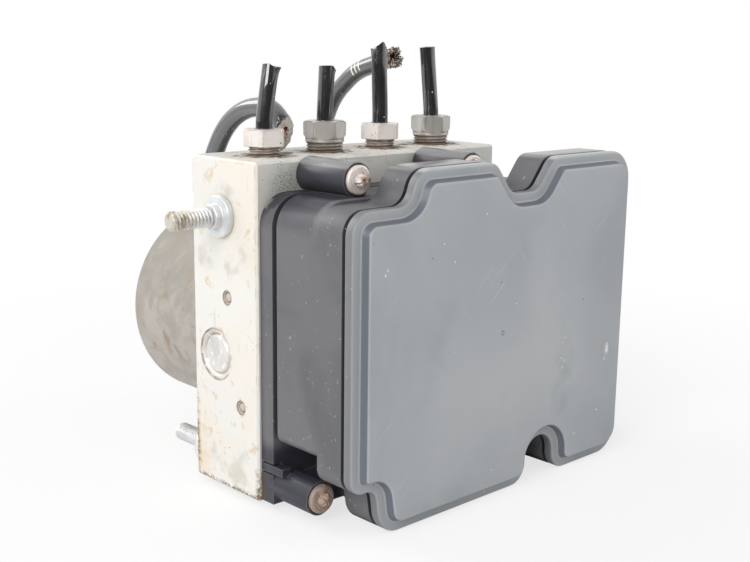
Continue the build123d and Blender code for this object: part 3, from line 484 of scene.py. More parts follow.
@shader_group(Scale=600, Angle=0.5, Low=0.66, High=0.72)
def scratches(tree, scale, angle, low, high):
    """Fine straight scratches that lean by Angle in the XZ plane."""
    turn = wire(tree, "VectorRotate", part_place(tree), None, None, angle, rotation_type="Y_AXIS")
    drawn = vector(tree, "MULTIPLY", turn, (0.03, 1, 1))
    return ramp(tree, noise_at(tree, drawn, scale, 2), low, high)


@shader_group(Radius=0.0006, Gain=3)
def edges(tree, radius, gain):
    """Corners of a body: where a rounded normal leaves the face's own normal."""
    rounded = wire(tree, "Bevel", radius, samples=6)
    face = tree.nodes.new("ShaderNodeNewGeometry").outputs["Normal"]
    return maths(tree, "MULTIPLY", vector(tree, "DISTANCE", rounded, face), gain, use_clamp=True)


@shader_group(Distance=0.003, Low=0.35, High=0.9)
def crevices(tree, distance, low, high):
    """Corners between close walls, where dirt gathers; the case also uses it for painted shade.
    """
    shade = wire(tree, "AmbientOcclusion", None, distance, samples=8)
    return ramp(tree, shade.outputs["AO"], high, low)


def ragged(tree, place, value, grain, depth):
    """A value made uneven by a noise: it comes and goes by half of depth."""
    uneven = maths(tree, "ADD", noise_at(tree, place, grain, 6), -0.5)
    return maths(tree, "MULTIPLY_ADD", uneven, depth, value)


@shader_group(X=0, Y=0, Z=0, Across_X=1, Across_Y=1, Across_Z=1, Near=0.006,
              Far=0.009, Ragged=0.003, Grain=500)
def halo(tree, x, y, z, across_x, across_y, across_z, near, far, depth, grain):
    """Ragged spot round a point, or round a line along the axis whose Across is 0.

    It is 1 within Near and 0 past Far."""
    place = part_place(tree)
    away = vector(tree, "SUBTRACT", place, wire(tree, "CombineXYZ", x, y, z))
    weight = wire(tree, "CombineXYZ", across_x, across_y, across_z)
    length = vector(tree, "LENGTH", vector(tree, "MULTIPLY", away, weight))
    return ramp(tree, ragged(tree, place, length, grain, depth), far, near)


@shader_group(X=0, Y=0, Z=1, From=0, To=0.01, Ragged=0)
def span(tree, x, y, z, start, end, depth):
    """Mask along a direction of the part: 0 before From and 1 past To, both in metres."""
    place = part_place(tree)
    along = vector(tree, "DOT_PRODUCT", place, wire(tree, "CombineXYZ", x, y, z))
    return ramp(tree, ragged(tree, place, along, 260, depth), start, end)


# ---- finishes
AXES = {"+X": (1, 0, 0), "-X": (-1, 0, 0), "+Y": (0, 1, 0), "-Y": (0, -1, 0),
        "+Z": (0, 0, 1), "-Z": (0, 0, -1)}
LINE_X, LINE_Y, LINE_Z = (0, 1, 1), (1, 0, 1), (1, 1, 0)     # what halo measures across


def shaded(colour, share, more=0):
    """A colour made darker or lighter by a share, and lighter by a number."""
    return tuple(value * share + more for value in colour)


class Finish:
    """A Principled material built up in layers of colour, gloss and relief.

    What never varies stays on the shader's own socket."""

    def __init__(self, name, colour, roughness, metallic=0, **sockets):
        self.material = bpy.data.materials.new(name)
        self.material.use_nodes = True
        self.tree = self.material.node_tree
        self.shader = self.tree.nodes["Principled BSDF"]
        self.values = {"Base Color": (*colour, 1), "Roughness": roughness, "Metallic": metallic}
        self.height = None
        self.bump = wire(self.tree, "Bump")
        self.bump.inputs["Distance"].default_value = 1
        self.tree.links.new(self.bump.outputs["Normal"], self.shader.inputs["Normal"])
        for label, value in {**self.values, **sockets}.items():
            self.shader.inputs[label.replace("_", " ")].default_value = value

    def mask(self, kind, *values):
        """One of the shared groups, with values for its inputs in their order."""
        node = wire(self.tree, "Group", node_tree=GROUPS[kind])
        for socket, value in zip(node.inputs, values):
            socket.default_value = value
        return node.outputs["Mask"]

    def past(self, direction, start, end, ragged=0):
        """Mask along an axis name or a direction: 0 before start and 1 past end (mm)."""
        return self.mask("span", *AXES.get(direction, direction), start * MM, end * MM,
                         ragged * MM)

    def spot(self, place, across, near, far, ragged, grain=500):
        """Mask round a point or line: 1 within near and 0 past far (mm)."""
        x, y, z = place
        return self.mask("halo", x * MM, y * MM, z * MM, *across, near * MM, far * MM,
                         ragged * MM, grain)

    def join(self, operation, *masks):
        """Masks and numbers put together one after another by a Math operation."""
        made = masks[0]
        for other in masks[1:]:
            made = maths(self.tree, operation, made, other)
        return made

    def times(self, *masks):
        """Masks and numbers multiplied."""
        return self.join("MULTIPLY", *masks)

    def lay(self, label, mask, value):
        """Blend one socket towards a value where the mask is."""
        colour = label == "Base Color"
        first, out = (6, 2) if colour else (2, 0)        # the Mix node's sockets by type
        node = wire(self.tree, "Mix", mask, *[None] * (first - 1), self.values[label],
                    (*value, 1) if colour else value, data_type="RGBA" if colour else "FLOAT")
        self.values[label] = node.outputs[out]
        self.tree.links.new(node.outputs[out], self.shader.inputs[label])

    def layer(self, mask, colour=None, roughness=None, metallic=None, height=None):
        """Lay a colour, a gloss, a metal share and a thickness (mm) where the mask is.

        Several masks and numbers in a tuple are multiplied."""
        if isinstance(mask, tuple):
            mask = self.times(*mask)
        looks = {"Base Color": colour, "Roughness": roughness, "Metallic": metallic}
        for label, value in looks.items():
            if value is not None:
                self.lay(label, mask, value)
        if height is not None:
            raised = self.times(mask, height * MM)
            self.height = self.join("ADD", self.height, raised) if self.height else raised
            self.tree.links.new(self.height, self.bump.inputs["Height"])

    def coats(self, *rows):
        """Layers from rows of a group, the values of its inputs and what layer() takes."""
        for kind, values, *looks in rows:
            self.layer(self.mask(kind, *values), *looks)


# The rows below give, for each group, these inputs in this order:
# blotches: scale, low, high, warp, seed     scratches: scale, angle, low, high
# specks: scale, size, patch scale, share    edges: radius, gain
# crevices: distance, low, high
def block_finish():
    """Machined aluminium gone pale: cream film, fine scratches, grime round the ports."""
    made = Finish("block_aluminium_worn", (0.74, 0.725, 0.685), 0.5, 0.15)
    made.coats(("blotches", (34, 0.46, 0.72, 1.2), (0.76, 0.7, 0.615), 0.6),
        ("blotches", (90, 0.58, 0.72, 0, 3), (0.6, 0.585, 0.53)),
        ("blotches", (210, 0.6, 0.7, 0.8, 11), (0.66, 0.56, 0.43), 0.65),
        ("scratches", (420, 1.35, 0.66, 0.74), (0.62, 0.6, 0.56), 0.35, None, -0.02),
        ("specks", (700, 0.35, 50, 0.07), (0.2, 0.17, 0.13), 0.8, None, -0.05))
    made.layer((made.mask("crevices", 0.004, 0.3, 0.85), 0.5), (0.34, 0.27, 0.2), 0.8)
    # painted shade: the front face a little greyer than the sides
    made.layer((made.past("-Y", 16, 16.4), 0.5), (0.62, 0.63, 0.605), 0.55)
    # brown dirt round the outlet nuts and the inlet nuts
    for port_x in OUTLET_XS:
        ring = made.spot((port_x, PORT_Y, 0), LINE_Z, 6.6, 10.8, 14, 360)
        grit = made.mask("blotches", 700, 0.38, 0.55, 0, port_x)
        made.layer((ring, grit), (0.13, 0.085, 0.05), 0.9, 0, 0.12)
    for port_x in (-INLET_X, INLET_X):
        ring = made.spot((port_x, 0, INLET_Z), LINE_Y, 6.2, 9, 8)
        made.layer(ring, (0.2, 0.14, 0.09), 0.9, 0)
    # white and grey corrosion on the front face beside the control unit
    bloom = made.spot((-41.5, -16.5, 97), (1, 1, 0.8), 1, 8.5, 6)
    pits = made.mask("blotches", 2300, 0.46, 0.62)
    made.layer((bloom, 0.5), (0.6, 0.61, 0.58), 0.8)
    made.layer((bloom, pits), (0.22, 0.22, 0.2), 0.8, None, -0.04)
    # dirty green and brown line down the front corners
    corner = made.times(made.mask("edges", 0.0007, 2),
                        made.mask("blotches", 260, 0.47, 0.6, 0, 5))
    made.layer((corner, 0.7), (0.42, 0.36, 0.24), 0.8)
    # dirt packed in the low front corner, rust stain up the low rear edge
    foot = made.times(made.past("-Y", 14, 16.5, 4), made.past("-Z", -14, -4, 12))
    crumbs = made.mask("blotches", 1100, 0.42, 0.55, 0, 9)
    made.layer((foot, crumbs), (0.22, 0.16, 0.08), 0.95, 0, 0.2)
    edge = made.times(made.past("+Y", 13.5, 16.5, 4), made.past("-Z", -34, -10, 20),
                      made.past("-X", 46, 51.5, 8))
    stain = made.times(made.past("+Y", 6, 16.5, 10), made.past("-Z", -30, -6, 16),
                       made.past("-X", 30, 50, 20))
    made.layer((stain, 0.6), (0.72, 0.56, 0.38), 0.8)
    made.layer((edge, 0.75), (0.46, 0.3, 0.17), 0.9)
    made.layer((edge, crumbs), (0.14, 0.09, 0.05), 0.95, 0, -0.15)
    low = made.past("-Z", -2.2, -0.4, 2)
    made.layer((low, crumbs), (0.24, 0.18, 0.12), 0.9)
    return made


def worn_plastic(name, colour, dark, roughness, scratched=0.6):
    """Moulded plastic with a fine grain, soft tone patches, dust and light scratches."""
    made = Finish(name, colour, roughness)
    dust = shaded(colour, 1, 0.35 * scratched)
    made.coats(("blotches", (24, 0.42, 0.66, 0.6), dark, roughness + 0.07),
        ("blotches", (2600, 0.35, 0.65), None, None, None, 0.012),
        ("scratches", (900, 0.7, 0.7, 0.76), dust, 0.6, None, -0.01),
        ("scratches", (1100, 2.2, 0.71, 0.77), dust, 0.6))
    return made


LID_RIM_Y = -57.3
LID_SCUFFS = [(64.8, 37.4, 1.4, 0.45), (63.6, 34.2, 0.5, 0.6), (41.4, 37.6, 0.5, 0.8),
              (40.2, 35.2, 0.6, 0.8), (40.9, 45.5, 0.4, 1), (39.8, 44, 0.35, 1),
              (-40.5, 78.2, 0.45, 0.8), (-41.4, 76.9, 0.4, 0.8), (-13.4, 77.4, 0.4, 1)]
LID_PIP = (9.3, 0, 52.2)


def lid_finish():
    """Blue-grey lid: dust specks, a painted highlight as a lighter line on its corners, a painted
    sheen in its middle and painted shade on its walls.
    """
    made = worn_plastic("lid_plastic_worn", (0.362, 0.38, 0.398), (0.32, 0.34, 0.366), 0.42, 0.3)
    # painted sheen: the middle of the face painted lighter
    middle = made.spot((20, 0, 35), (0.8, 0, 1.2), 4, 62, 50, 30)
    made.layer(middle, (0.425, 0.44, 0.452), 0.4)
    made.coats(("blotches", (45, 0.52, 0.7, 0, 7), (0.33, 0.36, 0.372), 0.5))
    # painted shade: darker side walls, and a darker slope between the rim and the raised face;
    # painted highlight: the top wall lighter
    walls = made.past("+Y", LID_RIM_Y - 0.4, LID_RIM_Y + 0.6)
    below = made.past("-Z", -104.6, -103.6)
    made.layer(walls, (0.5, 0.51, 0.51), 0.4)
    made.layer((walls, below), (0.165, 0.17, 0.182), 0.38)
    slope_shade = made.times(made.past("+Y", LID_RIM_Y - 2.6, LID_RIM_Y - 2.2),
                       made.past("-Y", 0.1 - LID_RIM_Y, 0.4 - LID_RIM_Y))
    made.layer(slope_shade, (0.115, 0.132, 0.155), 0.36)
    # painted highlight: a lighter line along the rounded corners
    made.coats(("edges", (0.0005, 0.8), (0.44, 0.46, 0.48)))
    # chips and scuffs, and a small moulding pip
    for x, z, size, narrow in LID_SCUFFS:
        scuff = made.spot((x, 0, z), (1, 0, narrow), 0.1 * size, size, 1.6 * size, 900)
        made.layer(scuff, (0.74, 0.74, 0.73), 0.75, None, -0.03)
    pip = made.join("SUBTRACT", made.spot(LID_PIP, LINE_Y, 0.7, 0.9, 0.2),
                    made.spot(LID_PIP, LINE_Y, 0.3, 0.5, 0.2))
    made.layer(pip, (0.2, 0.22, 0.23), None, None, 0.08)
    made.coats(("specks", (330, 0.14, 20, 0.08), (0.8, 0.81, 0.82), 0.8),
               ("specks", (260, 0.12, 30, 0.05), (0.12, 0.12, 0.13), 0.8))
    return made


def housing_finish():
    """Charcoal case: much darker bosses and neck, grey sides, a painted reflection on its top,
    painted shade in its corners, dust specks and dirt at its foot.
    """
    made = worn_plastic("housing_plastic_worn", (0.125, 0.125, 0.132), (0.095, 0.096, 0.104),
                        0.46)
    # the bosses and the neck, at the top and the bottom, painted much darker
    rear = made.past("+Y", -40.8, -39.5)
    ends = made.join("MAXIMUM", made.past("+Z", 84, 94), made.past("-Z", -21.5, -16.5))
    made.layer((rear, ends), (0.033, 0.033, 0.046), 0.36)
    # glossier top, painted lighter as a painted reflection
    made.layer(made.past("+Z", 103.5, 104.6), (0.24, 0.24, 0.24), 0.22)
    # painted shade: corners and grooves darkened nearly to black
    made.coats(("crevices", (0.005, 0.35, 0.9), (0.03, 0.03, 0.033), 0.7),
               ("edges", (0.0005, 0.7), (0.22, 0.22, 0.23)),
               ("specks", (420, 0.14, 30, 0.05), (0.62, 0.61, 0.58), 0.8))
    dirt = made.times(made.past("+Y", -20, -16.8, 3), made.past("-Z", -12, -6, 10))
    made.layer(dirt, (0.1, 0.075, 0.05), 0.95, None, 0.15)
    return made


def nut_finish(name, colour, grime, metallic):
    """Passivated nut: soft pinkish plating, brown lines at edges, dirt in the thread."""
    made = Finish(name, colour, 0.34, metallic)
    made.coats(("blotches", (260, 0.45, 0.7), shaded(colour, 0.86), 0.45),
        ("scratches", (900, 1.5, 0.62, 0.72), shaded(colour, 0.7), 0.3, None, -0.01),
        ("specks", (900, 0.35, 150, 0.1), (0.2, 0.15, 0.11), 0.8))
    lines = made.times(made.mask("edges", 0.00045, 2.4),
                       made.mask("blotches", 330, 0.36, 0.52, 0, 4))
    made.layer((lines, 0.8 * grime), (0.2, 0.13, 0.09), 0.7, 0.2)
    packed = made.mask("crevices", 0.0022, 0.35, 0.85)
    made.layer((packed, grime), (0.1, 0.062, 0.04), 0.9, 0)
    foot = made.times(made.past("-Z", -BLOCK_TOP - 1.9, 0.2 - BLOCK_TOP, 3),
                      made.past("+Z", BLOCK_TOP - 3, BLOCK_TOP - 2))
    made.layer((foot, grime), (0.15, 0.1, 0.07), 0.9, 0)
    return made


def coated_pipe(name, colour, roughness, rings=()):
    """Plastic-coated pipe: soft gloss, dust specks, rubbed streaks, painted rings."""
    made = Finish(name, colour, roughness, Coat_Weight=1, Coat_Roughness=0.05,
                  Coat_IOR=2, Specular_IOR_Level=0.3)
    made.coats(("blotches", (120, 0.5, 0.75), shaded(colour, 1.4, 0.003), roughness + 0.08),
        ("blotches", (330, 0.3, 0.7, 0, 8), None, None, None, 0.05),
        ("scratches", (700, 1.5, 0.69, 0.76), (0.3, 0.3, 0.3), 0.6),
        ("specks", (600, 0.24, 70, 0.08), (0.7, 0.68, 0.64), 0.8))
    along, up = (0, *RING_AXIS), (0, RING_AXIS[1], -RING_AXIS[0])
    for start in rings:
        band = made.join("SUBTRACT", made.past(along, start, start + 0.1, 0.5),
                         made.past(along, start + 0.7, start + 0.8, 0.5))
        made.layer((band, made.past(up, 124.2, 125)), (0.8, 0.77, 0.62), 0.7)
    return made


BROWN = (0.34, 0.24, 0.16)


def metal(name, colour, roughness, amount, metallic=0.9, stain=(0.25, 0.17, 0.11)):
    """Bare or plated metal with cloudy tone, fine tool marks and stains in its corners."""
    made = Finish(name, colour, roughness, metallic)
    made.coats(("blotches", (110, 0.4, 0.7, 0.5), shaded(colour, 0.82), roughness + 0.1),
        ("scratches", (1200, 0.2, 0.64, 0.74), shaded(colour, 0.7), None, None, -0.01))
    made.layer((made.mask("crevices", 0.002, 0.4, 0.9), amount), stain, 0.85, 0)
    made.coats(("specks", (800, 0.4, 90, 0.2 * amount), stain, 0.85, 0))
    return made


def motor_finish():
    """Drawn steel can: warm grey, brown mottling, and painted shade that darkens it towards its
    top.
    """
    made = metal("motor_steel_mottled", (0.465, 0.435, 0.395), 0.5, 0.4, 0.45, BROWN)
    # painted shade: darker towards the top
    made.layer(made.past("+Z", 42, 66, 20), (0.29, 0.27, 0.24), 0.6)
    made.coats(("blotches", (55, 0.5, 0.68, 1.5, 2), (0.4, 0.345, 0.285), 0.55),
               ("blotches", (120, 0.56, 0.76, 1, 5), (0.34, 0.27, 0.2), 0.7, 0.3))
    return made


def stud_finish():
    """Zinc plated stud with a bluish white flange and a rusty, dirty thread end."""
    made = metal("zinc_plating", (0.8, 0.82, 0.83), 0.42, 0.35, 0.6, BROWN)
    ends = made.join("MAXIMUM", *(made.past(side, 60, 68, 6) for side in ("-X", "+X")))
    patches = made.mask("blotches", 420, 0.5, 0.7)
    made.layer(ends, (0.62, 0.585, 0.51), 0.6)
    made.layer((ends, patches), (0.34, 0.26, 0.19), 0.85, 0.1)
    return made


def screw_finish():
    """Pinkish steel screws, rusty in the hollows of their broken stubs."""
    made = metal("unit_screw_steel", (0.88, 0.8, 0.75), 0.44, 0.9, 0.35, (0.22, 0.12, 0.08))
    made.layer(made.past("-Z", -30, -10, 10), (0.4, 0.3, 0.25), 0.6)
    made.coats(("blotches", (420, 0.52, 0.66, 0, 4), (0.4, 0.26, 0.19), 0.75, 0.2, 0.04))
    return made


def plug_finish():
    """Steel plugs with a rusty ring where they meet the block."""
    made = metal("plug_steel_worn", (0.74, 0.72, 0.69), 0.45, 0.6, 0.45, (0.34, 0.2, 0.12))
    centre = (0, PUMP_Y, PUMP_Z)
    ring = made.join("SUBTRACT", made.spot(centre, LINE_X, 8.6, 9, 0.6),
                     made.spot(centre, LINE_X, 7.6, 8.3, 1.6))
    patches = made.mask("blotches", 330, 0.3, 0.5, 0, 6)
    made.layer((ring, patches), (0.3, 0.18, 0.1), 0.85, 0.1)
    made.coats(("scratches", (500, 0.9, 0.58, 0.7), (0.9, 0.89, 0.87), 0.3, None, -0.04))
    return made


def torn_metal(name, colour, rust, clean=0.42):
    """Bright torn steel at a pipe's end, rusty further in."""
    made = Finish(name, colour, 0.4, 0.6)
    made.coats(("blotches", (900, clean, clean + 0.18), rust, 0.8, 0.1, 0.05),
               ("crevices", (0.003, 0.3, 0.8), rust, 0.9, 0))
    return made


def moulded(name, colour, roughness):
    """Inner plastic, rubber or carbon with a fine grain and handling marks."""
    return worn_plastic(name, colour, shaded(colour, 0.8), roughness)


def board_finish():
    """Green laminate with copper tracks and solder pads."""
    made = Finish("board_laminate_tracks", (0.02, 0.16, 0.06), 0.4)
    made.coats(("scratches", (180, 0, 0.55, 0.57), (0.04, 0.26, 0.11), 0.35, None, 0.03),
               ("scratches", (180, 1.5708, 0.58, 0.6), (0.04, 0.26, 0.11), 0.35, None, 0.03),
               ("specks", (260, 0.5, 60, 0.25), (0.62, 0.61, 0.58), 0.3, 0.8, 0.05))
    return made


# ---- the nuts
NUT_HALF = 6               # half the width across flats
NUT_CORNER = 6.93
SHANK_LOW = -9


def nut_rows(thread_r, bore_r, show, hex_h, collar_h=0):
    """Rows of a flare nut: shank, thread, collar, hexagon with cut corners, bore."""
    hex_low = show + collar_h
    top = hex_low + hex_h
    rows = [(bore_r, SHANK_LOW), (thread_r - 0.6, SHANK_LOW),
            (thread_r - 0.15, SHANK_LOW + 0.6), (thread_r - 0.15, -1)]
    rows += thread_rows(thread_r, -0.9, show - 0.35, 1, 0.62)
    if collar_h:
        rows += [(5.7, show - 0.2), (6.15, show), (6.3, show + 0.15), (6.3, hex_low - 0.1)]
        cuts = [(hex_low + step * 0.35, 6.15 + 0.24 * step) for step in range(4)]
    else:
        rows += [(thread_r - 0.35, show - 0.2), (5.75, show - 0.05)]
        cuts = [(show, 6.6), (show + 0.15, NUT_CORNER)]
    cuts += [(top - 1.6, NUT_CORNER), (top - 0.55, NUT_CORNER), (top - 0.3, 6.62),
             (top - 0.12, 6.25), (top, 5.85)]
    rows += [(NUT_HALF, height, corner) for height, corner in cuts]
    return rows + [(bore_r + 0.35, top), (bore_r, top - 0.35), (bore_r, SHANK_LOW)]


def make_nuts():
    """Two small and two large outlet nuts, and the two inlet nuts."""
    pink = nut_finish("nut_plating_pink", (0.94, 0.88, 0.83), 0.85, 0.35)
    grey = nut_finish("nut_plating_grey", (0.58, 0.56, 0.53), 1, 0.6)
    spots = [facing(x, PORT_Y, BLOCK_TOP, "+Z", turn) for x, turn in zip(OUTLET_XS, OUTLET_TURNS)]
    rear = [facing(x, BLOCK_REAR, INLET_Z, "+Y") for x in (-INLET_X, INLET_X)]
    for size, places, finish, rows in (("small", spots[0::2], pink, nut_rows(5, 2.65, 3, 5.2)),
            ("large", spots[1::2], grey, nut_rows(6, 2.65, 3.1, 5.6, 1.2)),
            ("inlet", rear, grey, nut_rows(6, 3.2, 2.5, 5.6, 1.2))):
        fasten(f"{size}_nuts", rows, 96, places, 28, finish, "nut_plating", f"{size}_flare_nuts")


# ---- cut pipe stubs
STUB_BEND = 11.5
STUB_ENDS = [(2.2, -0.8, 27.8), (0.6, -0.3, 27), (-0.9, 0, 34), (-2, 0.5, 33.3)]
STUB_RADII = (2.6, 1.6)
LEFT_CORNERS = [(47.7, 0), (30.9, 25.9), (5.9, 28.4), (2.7, 19.1)]
LEFT_BENDS = [7.5, 28, 11]
RIGHT_CORNERS = [(53, 0), (39.7, 28.5), (26.9, 38.2), (7.2, 43.4)]
RIGHT_BENDS = [9, 28, 28]
PIPE_R = 3.15
SAW_TEETH = 24               # degrees round the ripped edge from a tooth to a gap
STRANDS = 26


def turn_degrees(angle):
    """Angle from the front side, between -180 and 180 degrees."""
    return (degrees(angle) + 180) % 360 - 180


def torn_rim(heights, flares, rough, seed, squash):
    """A stub's edge from knots of height and flare round it, in degrees from the front."""
    def rim(angle):
        place = turn_degrees(angle)
        height = interp(place, *zip(*heights)) + rough * wobble(angle, seed)
        return height, interp(place, *zip(*flares)), squash
    return rim


# nipped shut a little, with a lip bent out at the right; sawn nearly level, its right
# corner torn down; split down the front with a sliver left of the split and a peak
# right of it; sawn square, slightly out of round
STUB_RIMS = [
    torn_rim([(-180, -0.4), (-95, -0.5), (-60, -0.2), (-15, 0.1), (10, -0.3), (35, -0.9),
              (60, -0.5), (95, -0.5), (180, -0.4)],
             [(40, 0), (80, 0.75), (110, 0.6), (150, 0)], 0.12, 1, 0.22),
    torn_rim([(-180, 0.1), (-90, 0), (20, 0.35), (50, 0.35), (70, -0.9), (95, -0.9),
              (120, 0.2), (180, 0.1)], [(50, 0), (80, 0.55), (110, 0)], 0.06, 2, 0.05),
    torn_rim([(-180, -0.4), (-120, -1.6), (-92, -1.3), (-60, -1.2), (-38, -1.4), (-34, -5.6),
              (-24, -5.8), (-20, -0.5), (5, 0.1), (32, 1), (45, 0.7), (62, -0.6),
              (95, -1.4), (140, -0.8), (180, -0.4)],
             [(-180, 0), (-100, 0.25), (-40, 0.45), (-30, 0)], 0.12, 3, 0.1),
    torn_rim([(180, 0)], [(180, 0.08)], 0.05, 4, 0.08),
]


def slanted_rim(angle):
    """Left inlet pipe: broken at a slant, its edge crumpled outwards."""
    height = -4.3 * cos(angle + radians(42)) - 0.5
    flare = 0.2 + 0.45 * wobble(angle, 5)
    return height + 0.4 * wobble(angle, 6.5), flare, 0


def shredded_rim(angle):
    """Right inlet pipe: ripped off, with a saw-toothed edge."""
    tooth = abs((turn_degrees(angle) / SAW_TEETH) % 2 - 1)
    return 1.6 * tooth + 0.5 * wobble(angle, 7) - 1.2, 0.5 + 0.3 * wobble(angle, 8), 0


def pipe_piece(name, route, radii, rim, finishes, slot, node, **ending):
    """A torn pipe with its coating outside, bare metal at its edge and a dirty bore."""
    made = tube(name, route, *radii, rim, **ending)
    for finish in finishes:
        made.data.materials.append(finish.material)
    for face in made.data.polygons:
        past = face.index // PIPE_COLUMNS - made["outer_rows"]
        if past > 0:
            face.material_index = 1 if past < 4 else 2
    settle(made, 40)
    finish_piece(made, finishes[0], slot, node)


def inlet_route(port_x, corners, bends):
    """Route of an inlet pipe from its port, by corners given from the port in Y and Z."""
    return corner_route([(port_x, y, INLET_Z + rise) for y, rise in
                         [(BLOCK_REAR - PIPE_START, 0), *corners]], bends)


def make_pipes():
    """Four outlet stubs and the two inlet pipes, each torn in its own way."""
    black = coated_pipe("pipe_coating_black_worn", (0.016, 0.016, 0.018), 0.2)
    grey = coated_pipe("pipe_coating_grey_worn", (0.055, 0.057, 0.06), 0.34)
    ringed = coated_pipe("pipe_coating_grey_ringed", (0.055, 0.057, 0.06), 0.34, RING_STARTS)
    bright = torn_metal("torn_pipe_steel", (0.72, 0.7, 0.68), (0.16, 0.11, 0.08))
    lip = torn_metal("crumpled_pipe_lip", (0.8, 0.76, 0.72), (0.3, 0.22, 0.17), 0.54)
    rusty = torn_metal("rusty_pipe_steel", (0.78, 0.72, 0.68), (0.36, 0.06, 0.03))
    for number, (port_x, end, rim) in enumerate(zip(OUTLET_XS, STUB_ENDS, STUB_RIMS), 1):
        spots = ((0, 0, -PIPE_START), (0, 0, STUB_BEND), end)
        route = corner_route([(port_x + x, PORT_Y + y, BLOCK_TOP + z) for x, y, z in spots], [30])
        pipe_piece(f"stub_{number}", route, STUB_RADII, rim, (black, bright, bright),
                   "pipe_coating_black", f"outlet_pipe_{number}")
    pipe_piece("inlet_tube_left", inlet_route(-INLET_X, LEFT_CORNERS, LEFT_BENDS),
               (PIPE_R, 1.35), slanted_rim, (grey, lip, rusty), "pipe_coating_grey",
               "inlet_pipe_left", reach=15, planar=True)
    pipe_piece("inlet_tube_right", inlet_route(INLET_X, RIGHT_CORNERS, RIGHT_BENDS),
               (PIPE_R, 2.1), shredded_rim, (ringed, bright, bright), "pipe_coating_grey",
               "inlet_pipe_right")


def shred(index, middle, along, radius):
    """One torn strip of the pipe's wall, curling away from its end."""
    turn = index * 2.399
    size = 0.5 + 0.5 * abs(sin(index * 1.7 + 0.4))
    side = along.orthogonal().normalized()
    up = along.cross(side)
    out = side * cos(turn) + up * sin(turn)
    across = along.cross(out)
    length = 1.6 + 1.5 * size
    curl = 0.3 + 1.1 * abs(sin(index * 2.9))
    root = middle + out * radius * (0.35 + 0.6 * size) - along * 1.6

    def shape(over, run):
        bend = curl * run * run
        width = 0.95 * size * (1 - 0.65 * run + 0.25 * sin(9 * run + index)) * (over - 0.5)
        twist = 1.4 * sin(index + 4 * run)
        at = root + along * length * run * cos(bend * 0.7)
        at += out * (0.9 * bend * run + 0.35 * sin(5 * run + index))
        at += across * 1.1 * sin(index * 1.3 + 4 * run) * run
        return at + (across * cos(twist) + out * sin(twist)) * 2 * width

    return sheet(f"strand_{index}", 3, 10, shape)


def make_shreds():
    """Curled strands of torn wall and coating at the right inlet pipe's end."""
    (before_y, before_z), (end_y, end_z) = RIGHT_CORNERS[-2:]
    end = Vector((INLET_X, end_y, INLET_Z + end_z))
    along = Vector((0, end_y - before_y, end_z - before_z)).normalized()
    bundle = join("pipe_shreds", [shred(index, end, along, 2.8) for index in range(STRANDS)])
    set_up(bundle.modifiers.new("wall", "SOLIDIFY"), thickness=0.22 * MM, offset=0)
    settle(bundle, 50)
    finish_piece(bundle, torn_metal("shredded_steel", (0.62, 0.58, 0.53), (0.2, 0.13, 0.08)),
                 "pipe_coating_grey")


# ---- studs and screws
STUD_Y, STUD_Z = 0.8, 87.4
REAR_STUD = (-45.7, 8.1)
UNIT_SCREWS = [(-32.1, 100.6), (17.2, 100.6), (-45.9, 6.2), (33.3, 6.2)]
UNIT_SEAT_Y = -37.6
BALL_PLUGS = [(-1.4, 62.2), (-7.9, 28.4)]


def make_studs():
    """Mounting studs with their flange, neck and rolled thread."""
    rows = [(0, -9), (2.6, -9), (3, -8.6), (3, 0), (6.35, 0), (6.5, 0.15), (6.5, 1.9),
            (6.3, 2.15), (4.1, 2.3), (3.9, 2.5), (3.9, 4.4), (3.7, 4.6), (2.75, 4.7)]
    rows += thread_rows(3, 4.9, 18.4, 1.25, 0.55)
    rows += [(2.45, 18.7), (2.1, 19), (0, 19)]
    places = [facing(-BLOCK_HALF, STUD_Y, STUD_Z, "-X"), facing(BLOCK_HALF, STUD_Y, STUD_Z, "+X"),
              facing(REAR_STUD[0], BLOCK_REAR, REAR_STUD[1], "+Y")]
    fasten("studs", rows, 72, places, 30, stud_finish(), "zinc_steel", "mounting_studs")


def unit_screw(index):
    """A low round head whose drive has been drilled out, leaving a ragged stub."""
    rows = [(0, -30.1), (2, -30.1), (2.45, -29.6), (2.45, 0), (4.25, 0), (4.45, 0.2),
            (4.45, 1.25), (4.3, 1.6), (3.9, 1.8),
            *((3.9 - 0.2 * step, 1.82) for step in range(1, 10)), (1.95, 2.1), (1.8, 2.6),
            (1.6, 3.1), (1.3, 3.45), (0.9, 3.6), (0.45, 3.5), (0, 3.4)]
    made = lathe(f"unit_screw_{index}", rows, 64)
    for vertex in made.data.vertices:
        place = vertex.co / MM
        if place.z < 1.2:
            continue
        reach = hypot(place.x, place.y)
        angle = atan2(place.y, place.x)
        rough = wobble(angle, 2 + 3.1 * index)
        fine = sin(place.x * 5.1 + index) * sin(place.y * 4.3 + 2 * index)
        if place.z > 1.95:
            place.z += 0.35 * rough + 0.22 * fine
            place.x *= 1 + 0.22 * rough
            place.y *= 1 + 0.16 * wobble(angle, 5 + index)
        elif reach < 3.8:
            place.z += 0.1 * fine + 0.06 * rough
        # the low left screw has a burr at one side
        burr = cos(angle - 0.2) - 0.8
        if index == 2 and reach > 1.2 and burr > 0 and place.z > 1.5:
            place.z += 2.25 * burr
            place.x += 0.35 * fine
        vertex.co = place * MM
    return made


def make_unit_screws():
    """The control unit's four screws."""
    made = []
    for index, (x, z) in enumerate(UNIT_SCREWS):
        screw = unit_screw(index)
        screw.matrix_world = facing(x, UNIT_SEAT_Y, z, "-Y", 40 * index)
        made.append(screw)
    screws = settle(join("unit_screws", made), 32)
    finish_piece(screws, screw_finish(), "screw_steel", "control_unit_screws")


